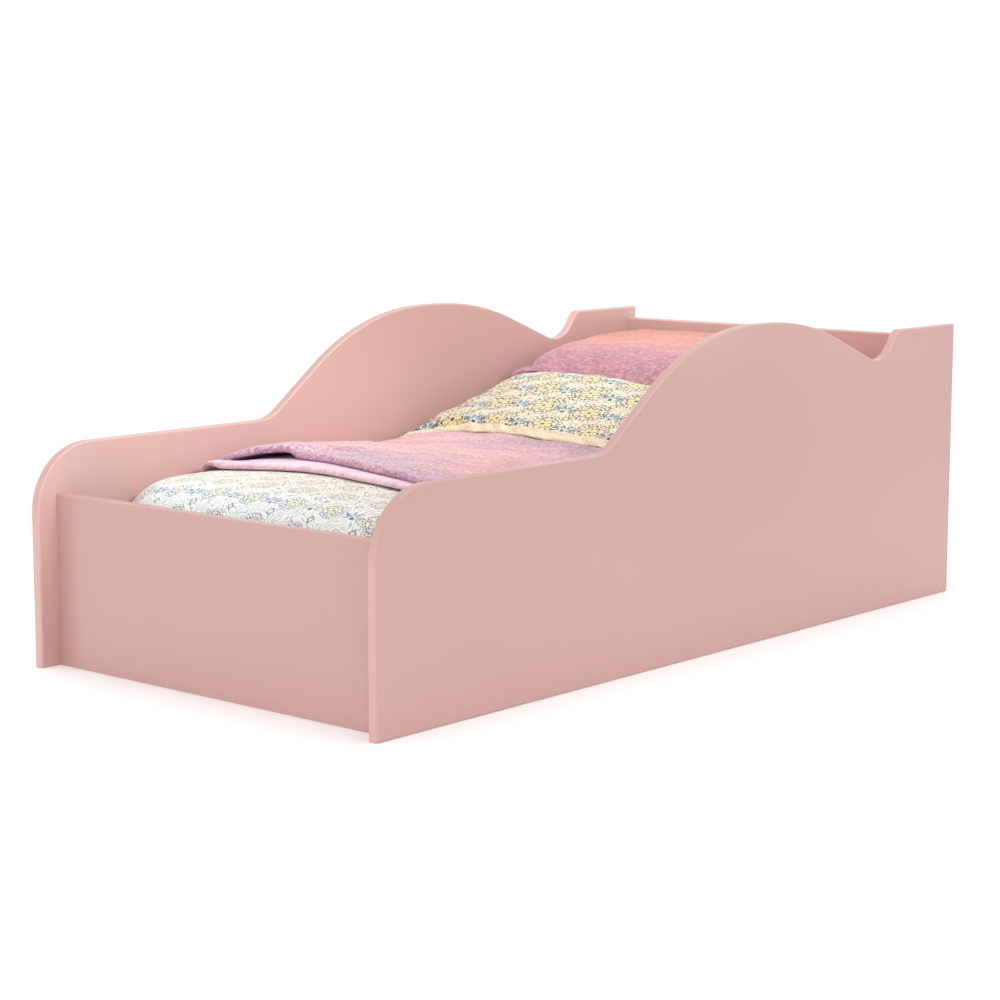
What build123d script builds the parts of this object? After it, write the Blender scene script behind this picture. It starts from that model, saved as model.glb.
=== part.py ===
from build123d import *

import math
import os

os.makedirs("parts", exist_ok=True)

# All sizes are in millimetres. The bed stands on z = 0, its foot end looks to -Y and its head end to +Y,
# and the origin is at the middle of its length and width.

# Mattress that the bed is made for, over its fitted sheet
mattress_length = 1400
mattress_width = 700
mattress_edge_height = 120
mattress_crown = 20
mattress_corner_radius = 190
mattress_top_radius = 60
mattress_bottom_radius = 14
mattress_foot_fall = 30
mattress_foot_run = 150
mattress_side_clearance = 3
mattress_end_clearance = 10
sheet_thickness = 1.2
sheet_hem = 80
soft_clearance = 0.3

# Boards
board_thickness = 18
board_edge_round = 3.5
foot_setback = 36
head_setback = 8
footboard_height = 272
headboard_height = 467

# Wavy outline of the side panels: a low entry, a hump, a notch and a flat shoulder at the head
entry_height = 348
entry_corner_radius = 106
hump_rise = 174
ramp_angle = 36.4
ramp_foot_radius = 74
ramp_crest_radius = 459
crest_flat = 40
descent_crest_radius = 543
descent_angle = 21.3
notch_depth = 94.5
notch_from_head = 232
notch_radius = 58
shoulder_rise = 60.5
shoulder_angle = 52
shoulder_radius = 22

# Slatted base
base_height = 160
slat_count = 12
slat_width = 70
slat_thickness = 15
slat_edge_round = 3
slat_end_gap = 1
slat_end_margin = 18
batten_width = 30
batten_height = 30
batten_end_gap = 1
batten_chamfer = 2

# Countersunk wood screws
screw_radius = 2
screw_head_radius = 4
screw_head_angle = 90
screw_tip_length = 4
screw_recess_radius = 1.6
screw_recess_depth = 1.4
screw_recess_sides = 4
slat_screw_length = 28
batten_screw_length = 40
screw_clearance = 0.05

# Hidden corner fittings: cam locks on cam bolts, with wooden dowels between them
cam_radius = 7.5
cam_height = 12.4
cam_recess = 0.4
cam_inset = 34
cam_end_distance = 60
cam_slot_length = 9
cam_slot_width = 1.6
cam_slot_depth = 2
cam_channel_radius = 3.3
bolt_thread_radius = 3.4
bolt_thread_length = 11
bolt_shank_radius = 3
bolt_neck_radius = 2
bolt_neck_length = 5
bolt_head_length = 4
bolt_bore_radius = 4
dowel_radius = 4
dowel_length = 30
dowel_panel_depth = 10
dowel_chamfer = 1
dowel_from_cam = 38
fitting_clearance = 0.05
cap_radius = 8.75
cap_height = 1.2
cap_edge_round = 0.5

# Throw blanket, folded on itself into a low roll and a high roll at its foot edge
throw_length = 534
throw_layer = 8
throw_low_roll = 13
throw_high_roll = 14
throw_roll_step = 40
throw_roll_bulge = 0.92
throw_fold_length = 192
throw_fold_fall = 100
throw_pillow_gap = 6
throw_panel_gap = 2

# Pillows: both lie on the mattress, the front one against the foot edge of the back one
pillow_side_gap = 5
pillow_end_round = 14
pillow_side_draw = 3
pillow_side_bulge = 0.2
pillow_fullness = 0.6
pillow_edge_run = 48
pillow_edge_share = 0.7
pillow_steps = 8
pillow_gap = 3
back_pillow_depth = 339
back_pillow_lip = 96
back_pillow_rise = 46
back_pillow_swell = 6
back_pillow_crown = 5
back_pillow_gap = 4
front_pillow_depth = 297
front_pillow_lip = 12
front_pillow_rise = 80
front_pillow_swell = 3
front_pillow_crown = 14

# Places that follow from the sizes
inner_half = mattress_width / 2 + mattress_side_clearance
inner_length = mattress_length + 2 * mattress_end_clearance
panel_length = foot_setback + board_thickness + inner_length + board_thickness + head_setback
foot_end = -panel_length / 2
head_end = panel_length / 2
footboard_inner = foot_end + foot_setback + board_thickness
headboard_inner = footboard_inner + inner_length
headboard_back = headboard_inner + board_thickness
mattress_middle = footboard_inner + inner_length / 2
slat_underside = base_height - slat_thickness
batten_length = inner_length - 2 * batten_end_gap
batten_middle = slat_underside - batten_height / 2
slat_span = inner_length - 2 * slat_end_margin - slat_width
slat_pitch = slat_span / (slat_count - 1)
first_slat = footboard_inner + slat_end_margin + slat_width / 2
slat_places = [first_slat + i * slat_pitch for i in range(slat_count)]
batten_screw_places = [(slat_places[i] + slat_places[i + 1]) / 2 for i in range(0, slat_count - 1, 2)]
slat_screw_x = inner_half - batten_width / 2
cam_x = inner_half - cam_inset
back_pillow_foot = headboard_inner - back_pillow_gap - back_pillow_depth
front_pillow_foot = back_pillow_foot - pillow_gap - front_pillow_depth
throw_end = front_pillow_foot - throw_pillow_gap
sides = {"left": -1, "right": 1}

# The mattress top is a shallow arch across the bed
mattress_half = mattress_width / 2
crown_radius = (mattress_half**2 + mattress_crown**2) / (2 * mattress_crown)
mattress_top = base_height + mattress_edge_height + mattress_crown
crown_axis_z = mattress_top - crown_radius
foot_fall_radius = (mattress_foot_run**2 + mattress_foot_fall**2) / (2 * mattress_foot_fall)
foot_fall_start = mattress_middle - mattress_length / 2 + mattress_foot_run


def crown_fall(x):
    """How far the mattress top lies below its middle at a distance x to the side."""
    return crown_radius - math.sqrt(crown_radius**2 - x**2)


# Each end board: the face with its cam pockets, its height and the heights of its fittings. Cams sit near the
# ends of the board and, on the tall headboard, in the middle too.
foot_cam_heights = [cam_end_distance, footboard_height - cam_end_distance]
head_cam_heights = [cam_end_distance, headboard_height / 2, headboard_height - cam_end_distance]
foot_dowel_heights = [foot_cam_heights[0] + dowel_from_cam, foot_cam_heights[-1] - dowel_from_cam]
head_dowel_heights = [head_cam_heights[0] + dowel_from_cam, head_cam_heights[-1] - dowel_from_cam]
end_boards = {
    "footboard": (footboard_inner, footboard_height, foot_cam_heights, foot_dowel_heights),
    "headboard": (headboard_back, headboard_height, head_cam_heights, head_dowel_heights),
}
cam_rows = [(back, z) for back, height, cams, pins in end_boards.values() for z in cams]
cam_places = [(back - board_thickness / 2, z) for back, z in cam_rows]
dowel_rows = [(back, z) for back, height, cams, pins in end_boards.values() for z in pins]
dowel_places = [(back - board_thickness / 2, z) for back, z in dowel_rows]

# Corners of the side panel outline, worked out from the head end towards the foot
crest_height = entry_height + hump_rise
notch_y = head_end - notch_from_head
notch_z = crest_height - notch_depth
shoulder_y = notch_y + shoulder_rise / math.tan(math.radians(shoulder_angle))
shoulder_z = notch_z + shoulder_rise
descent_y = notch_y - notch_depth / math.tan(math.radians(descent_angle))
crest_run = crest_flat + ramp_crest_radius * math.tan(math.radians(ramp_angle / 2))
crest_run += descent_crest_radius * math.tan(math.radians(descent_angle / 2))
crest_y = descent_y - crest_run
ramp_y = crest_y - hump_rise / math.tan(math.radians(ramp_angle))
panel_corners = [
    ((foot_end, 0), 0),
    ((foot_end, entry_height), entry_corner_radius),
    ((ramp_y, entry_height), ramp_foot_radius),
    ((crest_y, crest_height), ramp_crest_radius),
    ((descent_y, crest_height), descent_crest_radius),
    ((notch_y, notch_z), notch_radius),
    ((shoulder_y, shoulder_z), shoulder_radius),
    ((head_end, shoulder_z), 0),
    ((head_end, 0), 0),
]

# Side panels
for side, sign in sides.items():
    inner_face = Plane.YZ.offset(sign * inner_half)
    with BuildPart() as side_panel:
        with BuildSketch(inner_face):
            with BuildLine():
                FilletPolyline(
                    *[corner for corner, radius in panel_corners],
                    radius=[radius for corner, radius in panel_corners],
                    close=True,
                )
            make_face()
        extrude(amount=sign * board_thickness)
        fillet(side_panel.faces().filter_by(Axis.X).edges(), board_edge_round)
        with BuildSketch(inner_face):
            with Locations(*cam_places):
                Circle(bolt_thread_radius + fitting_clearance)
        extrude(amount=sign * (bolt_thread_length + fitting_clearance), mode=Mode.SUBTRACT)
        with BuildSketch(inner_face):
            with Locations(*dowel_places):
                Circle(dowel_radius + fitting_clearance)
        extrude(amount=sign * (dowel_panel_depth + fitting_clearance), mode=Mode.SUBTRACT)
        with BuildSketch(inner_face):
            with Locations(*[(y, batten_middle) for y in batten_screw_places]):
                Circle(screw_radius + screw_clearance)
        extrude(amount=sign * (batten_screw_length - batten_width + screw_clearance), mode=Mode.SUBTRACT)
    side_panel.part.label = f"{side}_side_panel"
    export_step(side_panel.part, f"parts/{side}_side_panel.step")

# End boards, with the cam pockets on the inside of the footboard and on the back of the headboard
for name, (back, height, cam_heights, dowel_heights) in end_boards.items():
    board_middle = back - board_thickness / 2
    with BuildPart() as end_board:
        with BuildSketch(Plane.XZ.offset(-back)):
            with Locations((0, height / 2)):
                Rectangle(2 * inner_half, height)
        extrude(amount=board_thickness)
        fillet(end_board.faces().sort_by(Axis.Z)[-1].edges().filter_by(Axis.X), board_edge_round)
        with BuildSketch(Plane.XZ.offset(-back)):
            with Locations(*[(sign * cam_x, z) for sign in sides.values() for z in cam_heights]):
                Circle(cam_radius + fitting_clearance)
        extrude(amount=cam_height + cam_recess + fitting_clearance, mode=Mode.SUBTRACT)
        for sign in sides.values():
            with BuildSketch(Plane.YZ.offset(sign * inner_half)):
                with Locations(*[(board_middle, z) for z in cam_heights]):
                    Circle(bolt_bore_radius)
            extrude(amount=-sign * cam_inset, mode=Mode.SUBTRACT)
            with BuildSketch(Plane.YZ.offset(sign * inner_half)):
                with Locations(*[(board_middle, z) for z in dowel_heights]):
                    Circle(dowel_radius + fitting_clearance)
            extrude(
                amount=-sign * (dowel_length - dowel_panel_depth + fitting_clearance), mode=Mode.SUBTRACT
            )
    end_board.part.label = name
    export_step(end_board.part, f"parts/{name}.step")

# Battens on the side panels, under the slats
for side, sign in sides.items():
    with BuildPart() as batten:
        with BuildSketch(Plane.YZ.offset(sign * inner_half)):
            with Locations((mattress_middle, batten_middle)):
                Rectangle(batten_length, batten_height)
        extrude(amount=-sign * batten_width)
        inner_side = batten.faces().sort_by(Axis.X)[0 if sign > 0 else -1]
        chamfer(inner_side.edges().sort_by(Axis.Z)[0], batten_chamfer)
        screw_face = Plane(
            (sign * (inner_half - batten_width), 0, batten_middle), x_dir=(0, 1, 0), z_dir=(-sign, 0, 0)
        )
        with Locations(screw_face):
            with Locations(*[(y, 0) for y in batten_screw_places]):
                CounterSinkHole(
                    screw_radius + screw_clearance,
                    screw_head_radius + screw_clearance,
                    counter_sink_angle=screw_head_angle,
                )
        with Locations(Plane.XY.offset(slat_underside)):
            with Locations(*[(sign * slat_screw_x, y) for y in slat_places]):
                Hole(screw_radius + screw_clearance, slat_screw_length - slat_thickness + screw_clearance)
    batten.part.label = f"{side}_slat_batten"
    export_step(batten.part, f"parts/{side}_slat_batten.step")

# Slats across the bed, each screwed to both battens
for number, y in enumerate(slat_places, start=1):
    with BuildPart() as slat:
        with BuildSketch(Plane.XY.offset(slat_underside)):
            with Locations((0, y)):
                Rectangle(2 * (inner_half - slat_end_gap), slat_width)
        extrude(amount=slat_thickness)
        fillet(slat.edges().filter_by(Axis.X), slat_edge_round)
        with Locations(Plane.XY.offset(base_height)):
            with Locations(*[(sign * slat_screw_x, y) for sign in sides.values()]):
                CounterSinkHole(
                    screw_radius + screw_clearance,
                    screw_head_radius + screw_clearance,
                    counter_sink_angle=screw_head_angle,
                )
    slat.part.label = f"slat_{number:02d}"
    export_step(slat.part, f"parts/slat_{number:02d}.step")


def wood_screw(length):
    """Countersunk screw with its head at the origin and its point along -Z."""
    head_depth = (screw_head_radius - screw_radius) / math.tan(math.radians(screw_head_angle / 2))
    with BuildPart() as screw:
        with BuildSketch(Plane.XZ):
            with BuildLine():
                Polyline(
                    (0, 0),
                    (screw_head_radius, 0),
                    (screw_radius, -head_depth),
                    (screw_radius, screw_tip_length - length),
                    (0, -length),
                    close=True,
                )
            make_face()
        revolve(axis=Axis.Z)
        with BuildSketch(Plane.XY):
            RegularPolygon(screw_recess_radius, screw_recess_sides)
        extrude(amount=-screw_recess_depth, mode=Mode.SUBTRACT)
    return screw.part


slat_screw = wood_screw(slat_screw_length)
with BuildPart() as slat_screws:
    with Locations(Plane.XY.offset(base_height)):
        with Locations(*[(sign * slat_screw_x, y) for sign in sides.values() for y in slat_places]):
            add(slat_screw)
slat_screws.part.label = "slat_screws"
export_step(slat_screws.part, "parts/slat_screws.step")

batten_screw = wood_screw(batten_screw_length)
with BuildPart() as batten_screws:
    for sign in sides.values():
        screw_face = Plane(
            (sign * (inner_half - batten_width), 0, batten_middle), x_dir=(0, 1, 0), z_dir=(-sign, 0, 0)
        )
        with Locations(screw_face):
            with Locations(*[(y, 0) for y in batten_screw_places]):
                add(batten_screw)
batten_screws.part.label = "batten_screws"
export_step(batten_screws.part, "parts/batten_screws.step")

# One cam bolt, with the panel face at the origin and its head along -Z
bolt_head_end = cam_inset + bolt_head_length / 2
bolt_neck_end = bolt_head_end - bolt_head_length
with BuildPart() as cam_bolt:
    with BuildSketch(Plane.XZ):
        with BuildLine():
            Polyline(
                (0, bolt_thread_length),
                (bolt_thread_radius, bolt_thread_length),
                (bolt_thread_radius, 0),
                (bolt_shank_radius, 0),
                (bolt_shank_radius, bolt_neck_length - bolt_neck_end),
                (bolt_neck_radius, bolt_neck_length - bolt_neck_end),
                (bolt_neck_radius, -bolt_neck_end),
                (bolt_shank_radius, -bolt_neck_end),
                (bolt_shank_radius, -bolt_head_end),
                (0, -bolt_head_end),
                close=True,
            )
        make_face()
    revolve(axis=Axis.Z)

with BuildPart() as cam_bolts:
    for sign in sides.values():
        with Locations(Plane((sign * inner_half, 0, 0), x_dir=(0, 1, 0), z_dir=(sign, 0, 0))):
            with Locations(*[(y, sign * z) for y, z in cam_places]):
                add(cam_bolt.part)
cam_bolts.part.label = "cam_bolts"
export_step(cam_bolts.part, "parts/cam_bolts.step")

# Cam locks in their pockets, turned towards the panel that they pull in, and the caps over them
with BuildPart() as cam_locks:
    for sign in sides.values():
        for back, z in cam_rows:
            with BuildSketch(Plane.XZ.offset(-back + cam_recess)):
                with Locations((sign * cam_x, z)):
                    Circle(cam_radius)
            extrude(amount=cam_height)
            with BuildSketch(Plane.XZ.offset(-back + cam_recess)):
                with Locations((sign * cam_x, z)):
                    Rectangle(cam_slot_length, cam_slot_width)
            extrude(amount=cam_slot_depth, mode=Mode.SUBTRACT)
            with BuildSketch(Plane.YZ.offset(sign * (cam_x - bolt_head_length))):
                with Locations((back - board_thickness / 2, z)):
                    Circle(cam_channel_radius)
            extrude(amount=sign * (bolt_head_length + 2 * cam_radius), mode=Mode.SUBTRACT)
cam_locks.part.label = "cam_locks"
export_step(cam_locks.part, "parts/cam_locks.step")

with BuildPart() as cam_caps:
    for back, z in cam_rows:
        with BuildSketch(Plane.XZ.offset(-back)):
            with Locations(*[(sign * cam_x, z) for sign in sides.values()]):
                Circle(cap_radius)
        extrude(amount=-cap_height)
        outer_faces = cam_caps.faces(Select.LAST).sort_by(Axis.Y)[-len(sides) :]
        fillet(outer_faces.edges(), cap_edge_round)
cam_caps.part.label = "cam_caps"
export_step(cam_caps.part, "parts/cam_caps.step")

with BuildPart() as dowels:
    for sign in sides.values():
        with BuildSketch(Plane.YZ.offset(sign * (inner_half + dowel_panel_depth))):
            with Locations(*dowel_places):
                Circle(dowel_radius)
        extrude(amount=-sign * dowel_length)
    chamfer(dowels.edges().filter_by(GeomType.CIRCLE), dowel_chamfer)
dowels.part.label = "dowels"
export_step(dowels.part, "parts/dowels.step")


def mattress_form(inset):
    """Block with a crowned top, rounded corners and a falling foot end, its skin moved in by inset."""
    half_width = mattress_half - inset
    half_length = mattress_length / 2 - inset
    top_radius = crown_radius - inset
    edge_z = crown_axis_z + math.sqrt(top_radius**2 - half_width**2)
    bottom_z = base_height + inset
    with BuildPart() as form:
        with BuildSketch(Plane.XZ.offset(half_length - mattress_middle)):
            with BuildLine():
                Polyline(
                    (-half_width, edge_z),
                    (-half_width, bottom_z),
                    (half_width, bottom_z),
                    (half_width, edge_z),
                )
                ThreePointArc((half_width, edge_z), (0, mattress_top - inset), (-half_width, edge_z))
            make_face()
        extrude(amount=-2 * half_length)
        fillet(form.edges().filter_by(Axis.Z), mattress_corner_radius - inset)
        fillet(form.faces().sort_by(Axis.Z)[-1].edges(), mattress_top_radius - inset)
        fillet(form.faces().sort_by(Axis.Z)[0].edges(), mattress_bottom_radius - inset)
        with BuildSketch(Plane.YZ) as over_foot:
            with Locations((foot_fall_start - mattress_foot_run / 2, mattress_top)):
                Rectangle(mattress_foot_run, 2 * mattress_foot_fall)
            with Locations((foot_fall_start, mattress_top - foot_fall_radius)):
                Circle(foot_fall_radius - inset, mode=Mode.SUBTRACT)
        extrude(over_foot.sketch, amount=mattress_half, both=True, mode=Mode.SUBTRACT)
    return form.part


# Fitted sheet over the mattress, open underneath inside its hem
with BuildPart() as fitted_sheet:
    add(mattress_form(0))
    add(mattress_form(sheet_thickness), mode=Mode.SUBTRACT)
    with BuildSketch(Plane.XY.offset(base_height)):
        with Locations((0, mattress_middle)):
            Rectangle(mattress_width - 2 * sheet_hem, mattress_length - 2 * sheet_hem)
    extrude(amount=2 * sheet_thickness, mode=Mode.SUBTRACT)
fitted_sheet.part.label = "fitted_sheet"
export_step(fitted_sheet.part, "parts/fitted_sheet.step")

with BuildPart() as mattress_core:
    add(mattress_form(sheet_thickness + soft_clearance))
mattress_core.part.label = "mattress_core"
export_step(mattress_core.part, "parts/mattress_core.step")

# Throw blanket: one folded section carried over the arch of the mattress and round its top edges
throw_stack = soft_clearance + throw_low_roll + throw_high_roll
arch_reach = crown_radius - mattress_top_radius
edge_x = mattress_half - mattress_top_radius
edge_z = crown_axis_z + math.sqrt(arch_reach**2 - edge_x**2)
arch_angle = math.degrees(math.asin(edge_x / arch_reach))
flap_reach = inner_half - throw_panel_gap - edge_x
flap_angle = math.degrees(math.asin(flap_reach / (mattress_top_radius + throw_stack)))


def folded_section(plane, radius):
    """The throw's section along the bed, in a plane whose second axis runs out from the arch's centre."""
    start = throw_end - throw_length
    low = radius + soft_clearance
    ridge = low + throw_low_roll
    top = ridge + throw_high_roll
    layer = low + throw_layer
    low_nose = start + throw_roll_bulge * throw_low_roll / 2
    high_start = start + throw_roll_step
    high_nose = high_start + throw_roll_bulge * throw_high_roll / 2
    end_nose = throw_end - throw_roll_bulge * throw_layer / 2
    fold_top = high_nose + throw_fold_length
    fold_end = fold_top + throw_fold_fall
    with BuildSketch(plane) as section:
        with BuildLine():
            Line((end_nose, low), (low_nose, low))
            ThreePointArc((low_nose, low), (start, (low + ridge) / 2), (low_nose, ridge))
            Line((low_nose, ridge), (high_nose, ridge))
            ThreePointArc((high_nose, ridge), (high_start, (ridge + top) / 2), (high_nose, top))
            Polyline((high_nose, top), (fold_top, top), (fold_end, layer), (end_nose, layer))
            ThreePointArc((end_nose, layer), (throw_end, (low + layer) / 2), (end_nose, low))
        make_face()
    return section.sketch


def tilted(x, z, angle):
    """Plane along the bed through (x, z), leaning to the left by an angle from upright."""
    lean = math.radians(angle)
    return Plane((x, 0, z), x_dir=(0, 1, 0), z_dir=(math.cos(lean), 0, math.sin(lean)))


with BuildPart() as throw_blanket:
    for x, z, radius, first, last in (
        (-edge_x, edge_z, mattress_top_radius, flap_angle, arch_angle),
        (0, crown_axis_z, crown_radius, arch_angle, -arch_angle),
        (edge_x, edge_z, mattress_top_radius, -arch_angle, -flap_angle),
    ):
        revolve(
            folded_section(tilted(x, z, first), radius),
            axis=Axis((x, 0, z), (0, 1, 0)),
            revolution_arc=first - last,
        )
throw_blanket.part.label = "throw_blanket"
export_step(throw_blanket.part, "parts/throw_blanket.step")


def pillow_form(foot, depth, lip, rise, swell, crown):
    """Stuffed pillow through sections across the bed, from its foot edge up to its raised head edge."""
    seat = mattress_top + soft_clearance
    with BuildPart() as form:
        for step in range(pillow_steps + 1):
            share = (1 - math.cos(math.pi * step / pillow_steps)) / 2
            fill = abs(math.sin(math.pi * share)) ** pillow_fullness
            inside = min(1, depth * min(share, 1 - share) / pillow_edge_run)
            plump = pillow_edge_share + (1 - pillow_edge_share) * math.sin(inside * math.pi / 2)
            height = lip + rise * share + swell * fill
            half_width = mattress_half - pillow_side_gap
            half_width -= pillow_end_round * (1 - fill) ** 2 + pillow_side_draw * fill**2
            rim = half_width - pillow_side_bulge * height
            rest = seat - crown_fall(rim)
            shoulder = rest + (seat + height - rest) * plump
            waist = (rest + shoulder) / 2
            with BuildSketch(Plane.XZ.offset(-foot - depth * share)):
                with BuildLine():
                    ThreePointArc((-rim, rest), (0, seat), (rim, rest))
                    ThreePointArc((rim, rest), (half_width, waist), (rim, shoulder))
                    ThreePointArc((rim, shoulder), (0, seat + (height + crown) * plump), (-rim, shoulder))
                    ThreePointArc((-rim, shoulder), (-half_width, waist), (-rim, rest))
                make_face()
        loft()
    return form.part


with BuildPart() as back_pillow:
    add(
        pillow_form(
            back_pillow_foot,
            back_pillow_depth,
            back_pillow_lip,
            back_pillow_rise,
            back_pillow_swell,
            back_pillow_crown,
        )
    )
back_pillow.part.label = "back_pillow"
export_step(back_pillow.part, "parts/back_pillow.step")

with BuildPart() as front_pillow:
    add(
        pillow_form(
            front_pillow_foot,
            front_pillow_depth,
            front_pillow_lip,
            front_pillow_rise,
            front_pillow_swell,
            front_pillow_crown,
        )
    )
front_pillow.part.label = "front_pillow"
export_step(front_pillow.part, "parts/front_pillow.step")
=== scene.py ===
import math

import bmesh
import bpy
import numpy as np
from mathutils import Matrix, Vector, noise
from mathutils.bvhtree import BVHTree


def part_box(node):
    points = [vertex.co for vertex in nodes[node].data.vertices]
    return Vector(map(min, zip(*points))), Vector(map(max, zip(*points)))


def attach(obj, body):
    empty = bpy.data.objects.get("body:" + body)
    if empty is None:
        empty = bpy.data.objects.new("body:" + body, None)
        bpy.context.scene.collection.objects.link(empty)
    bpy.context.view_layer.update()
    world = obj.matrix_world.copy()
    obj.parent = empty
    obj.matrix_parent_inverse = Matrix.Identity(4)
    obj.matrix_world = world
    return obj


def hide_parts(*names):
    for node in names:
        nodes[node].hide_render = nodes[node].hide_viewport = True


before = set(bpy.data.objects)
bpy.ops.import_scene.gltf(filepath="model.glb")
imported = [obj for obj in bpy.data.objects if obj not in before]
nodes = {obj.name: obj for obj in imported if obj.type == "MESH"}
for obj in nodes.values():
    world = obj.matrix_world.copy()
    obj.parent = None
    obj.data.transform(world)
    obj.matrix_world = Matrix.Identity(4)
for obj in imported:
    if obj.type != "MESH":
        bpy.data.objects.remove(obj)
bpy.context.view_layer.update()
scene = bpy.context.scene
print("frame loaded:", len(nodes), "nodes")

# Camera at the photograph's angle
view = {"place": (2.5915, -3.0464, 0.8111), "tilt": 81.53, "turn": 41.04, "lens": 86.47, "sensor": 36, "farClip": 60}
eye = bpy.data.objects.new("camera", bpy.data.cameras.new("camera"))
eye.data.lens = view["lens"]
eye.data.sensor_width = view["sensor"]
eye.data.clip_end = view["farClip"]
eye.location = view["place"]
eye.rotation_euler = (math.radians(view["tilt"]), 0, math.radians(view["turn"]))
scene.collection.objects.link(eye)
scene.camera = eye


# Node and colour helpers

def linear(red, green, blue):
    parts = [c / 255 for c in (red, green, blue)]
    return tuple(c / 12.92 if c <= 0.04045 else ((c + 0.055) / 1.055) ** 2.4 for c in parts) + (1,)


def feed(tree, socket, value):
    if isinstance(value, bpy.types.NodeSocket):
        tree.links.new(value, socket)
    else:
        socket.default_value = value


def calc(tree, operation, *values, clamp=False):
    node = tree.nodes.new("ShaderNodeMath")
    node.operation = operation
    node.use_clamp = clamp
    for socket, value in zip(node.inputs, values):
        feed(tree, socket, value)
    return node.outputs[0]


def mixed(tree, factor, first, second, blend="MIX"):
    node = tree.nodes.new("ShaderNodeMix")
    node.data_type = "RGBA"
    node.blend_type = blend
    colours = [socket for socket in node.inputs if socket.type == "RGBA"]
    feed(tree, node.inputs["Factor"], factor)
    feed(tree, colours[0], first)
    feed(tree, colours[1], second)
    return next(socket for socket in node.outputs if socket.type == "RGBA")


def shaded(tree, colour, shade):
    return mixed(tree, 1, colour, shade, "MULTIPLY")


def axes(tree, place):
    node = tree.nodes.new("ShaderNodeSeparateXYZ")
    tree.links.new(place, node.inputs[0])
    return node.outputs


def speckle(tree, place, scale, detail=2.0, rough=0.5, stretch=None):
    if stretch:
        turn = tree.nodes.new("ShaderNodeMapping")
        turn.inputs["Scale"].default_value = stretch
        tree.links.new(place, turn.inputs["Vector"])
        place = turn.outputs[0]
    node = tree.nodes.new("ShaderNodeTexNoise")
    node.inputs["Scale"].default_value = scale
    node.inputs["Detail"].default_value = detail
    node.inputs["Roughness"].default_value = rough
    tree.links.new(place, node.inputs["Vector"])
    return node.outputs["Fac"]


def ramp(tree, factor, stops):
    node = tree.nodes.new("ShaderNodeValToRGB")
    band = node.color_ramp
    while len(band.elements) < len(stops):
        band.elements.new(0.5)
    for element, (place, colour) in zip(band.elements, stops):
        element.position = place
        element.color = colour
    feed(tree, node.inputs[0], factor)
    return node.outputs[0]


def newGroup(name, inputs, outputs):
    tree = bpy.data.node_groups.new(name, "ShaderNodeTree")
    for label, kind, start in inputs:
        socket = tree.interface.new_socket(label, in_out="INPUT", socket_type=kind)
        if start is not None:
            socket.default_value = start
    for label, kind in outputs:
        tree.interface.new_socket(label, in_out="OUTPUT", socket_type=kind)
    return tree, tree.nodes.new("NodeGroupInput").outputs, tree.nodes.new("NodeGroupOutput").inputs


def placeGroup(tree, group, **values):
    node = tree.nodes.new("ShaderNodeGroup")
    node.node_tree = group
    for label, value in values.items():
        feed(tree, node.inputs[label], value)
    return node.outputs


def newMaterial(name, **sockets):
    material = bpy.data.materials.new(name)
    material.use_nodes = True
    tree = material.node_tree
    shader = tree.nodes["Principled BSDF"]
    for label, value in sockets.items():
        shader.inputs[label.replace("_", " ")].default_value = value
    return material, tree, shader


def objectPlace(tree):
    return tree.nodes.new("ShaderNodeTexCoord").outputs["Object"]


def clothPlace(tree):
    node = tree.nodes.new("ShaderNodeUVMap")
    node.uv_map = "cloth"
    return node.outputs[0]


def bump(tree, shader, height, strength, distance):
    node = tree.nodes.new("ShaderNodeBump")
    node.inputs["Strength"].default_value = strength
    node.inputs["Distance"].default_value = distance
    tree.links.new(height, node.inputs["Height"])
    tree.links.new(node.outputs[0], shader.inputs["Normal"])


# Shared surface effects

weaveLook = {"slub": 260, "slubDepth": 0.8, "threadDepth": 0.6, "shade": (0.22, 0.86)}
grainLook = {"rings": 9, "ringStretch": (0.5, 6, 6), "bands": 7, "bandShare": 0.6, "fibre": 60,
             "fibreStretch": (0.6, 9, 9), "fibreShare": 0.4}


def makeWeave():
    tree, given, result = newGroup(
        "clothWeave",
        [("Place", "NodeSocketVector", None), ("Threads", "NodeSocketFloat", 900.0)],
        [("Height", "NodeSocketFloat"), ("Shade", "NodeSocketFloat")],
    )
    x, y, _ = axes(tree, given["Place"])
    turns = calc(tree, "MULTIPLY", given["Threads"], math.pi)
    warp = calc(tree, "SINE", calc(tree, "MULTIPLY", x, turns))
    weft = calc(tree, "SINE", calc(tree, "MULTIPLY", y, turns))
    crossing = calc(tree, "MULTIPLY_ADD", calc(tree, "MULTIPLY", warp, weft), 0.5, 0.5)
    slub = speckle(tree, given["Place"], weaveLook["slub"], 3)
    threads = calc(tree, "MULTIPLY", crossing, weaveLook["threadDepth"])
    height = calc(tree, "MULTIPLY_ADD", slub, weaveLook["slubDepth"], threads)
    tree.links.new(height, result["Height"])
    tree.links.new(calc(tree, "MULTIPLY_ADD", height, *weaveLook["shade"]), result["Shade"])
    return tree


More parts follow.
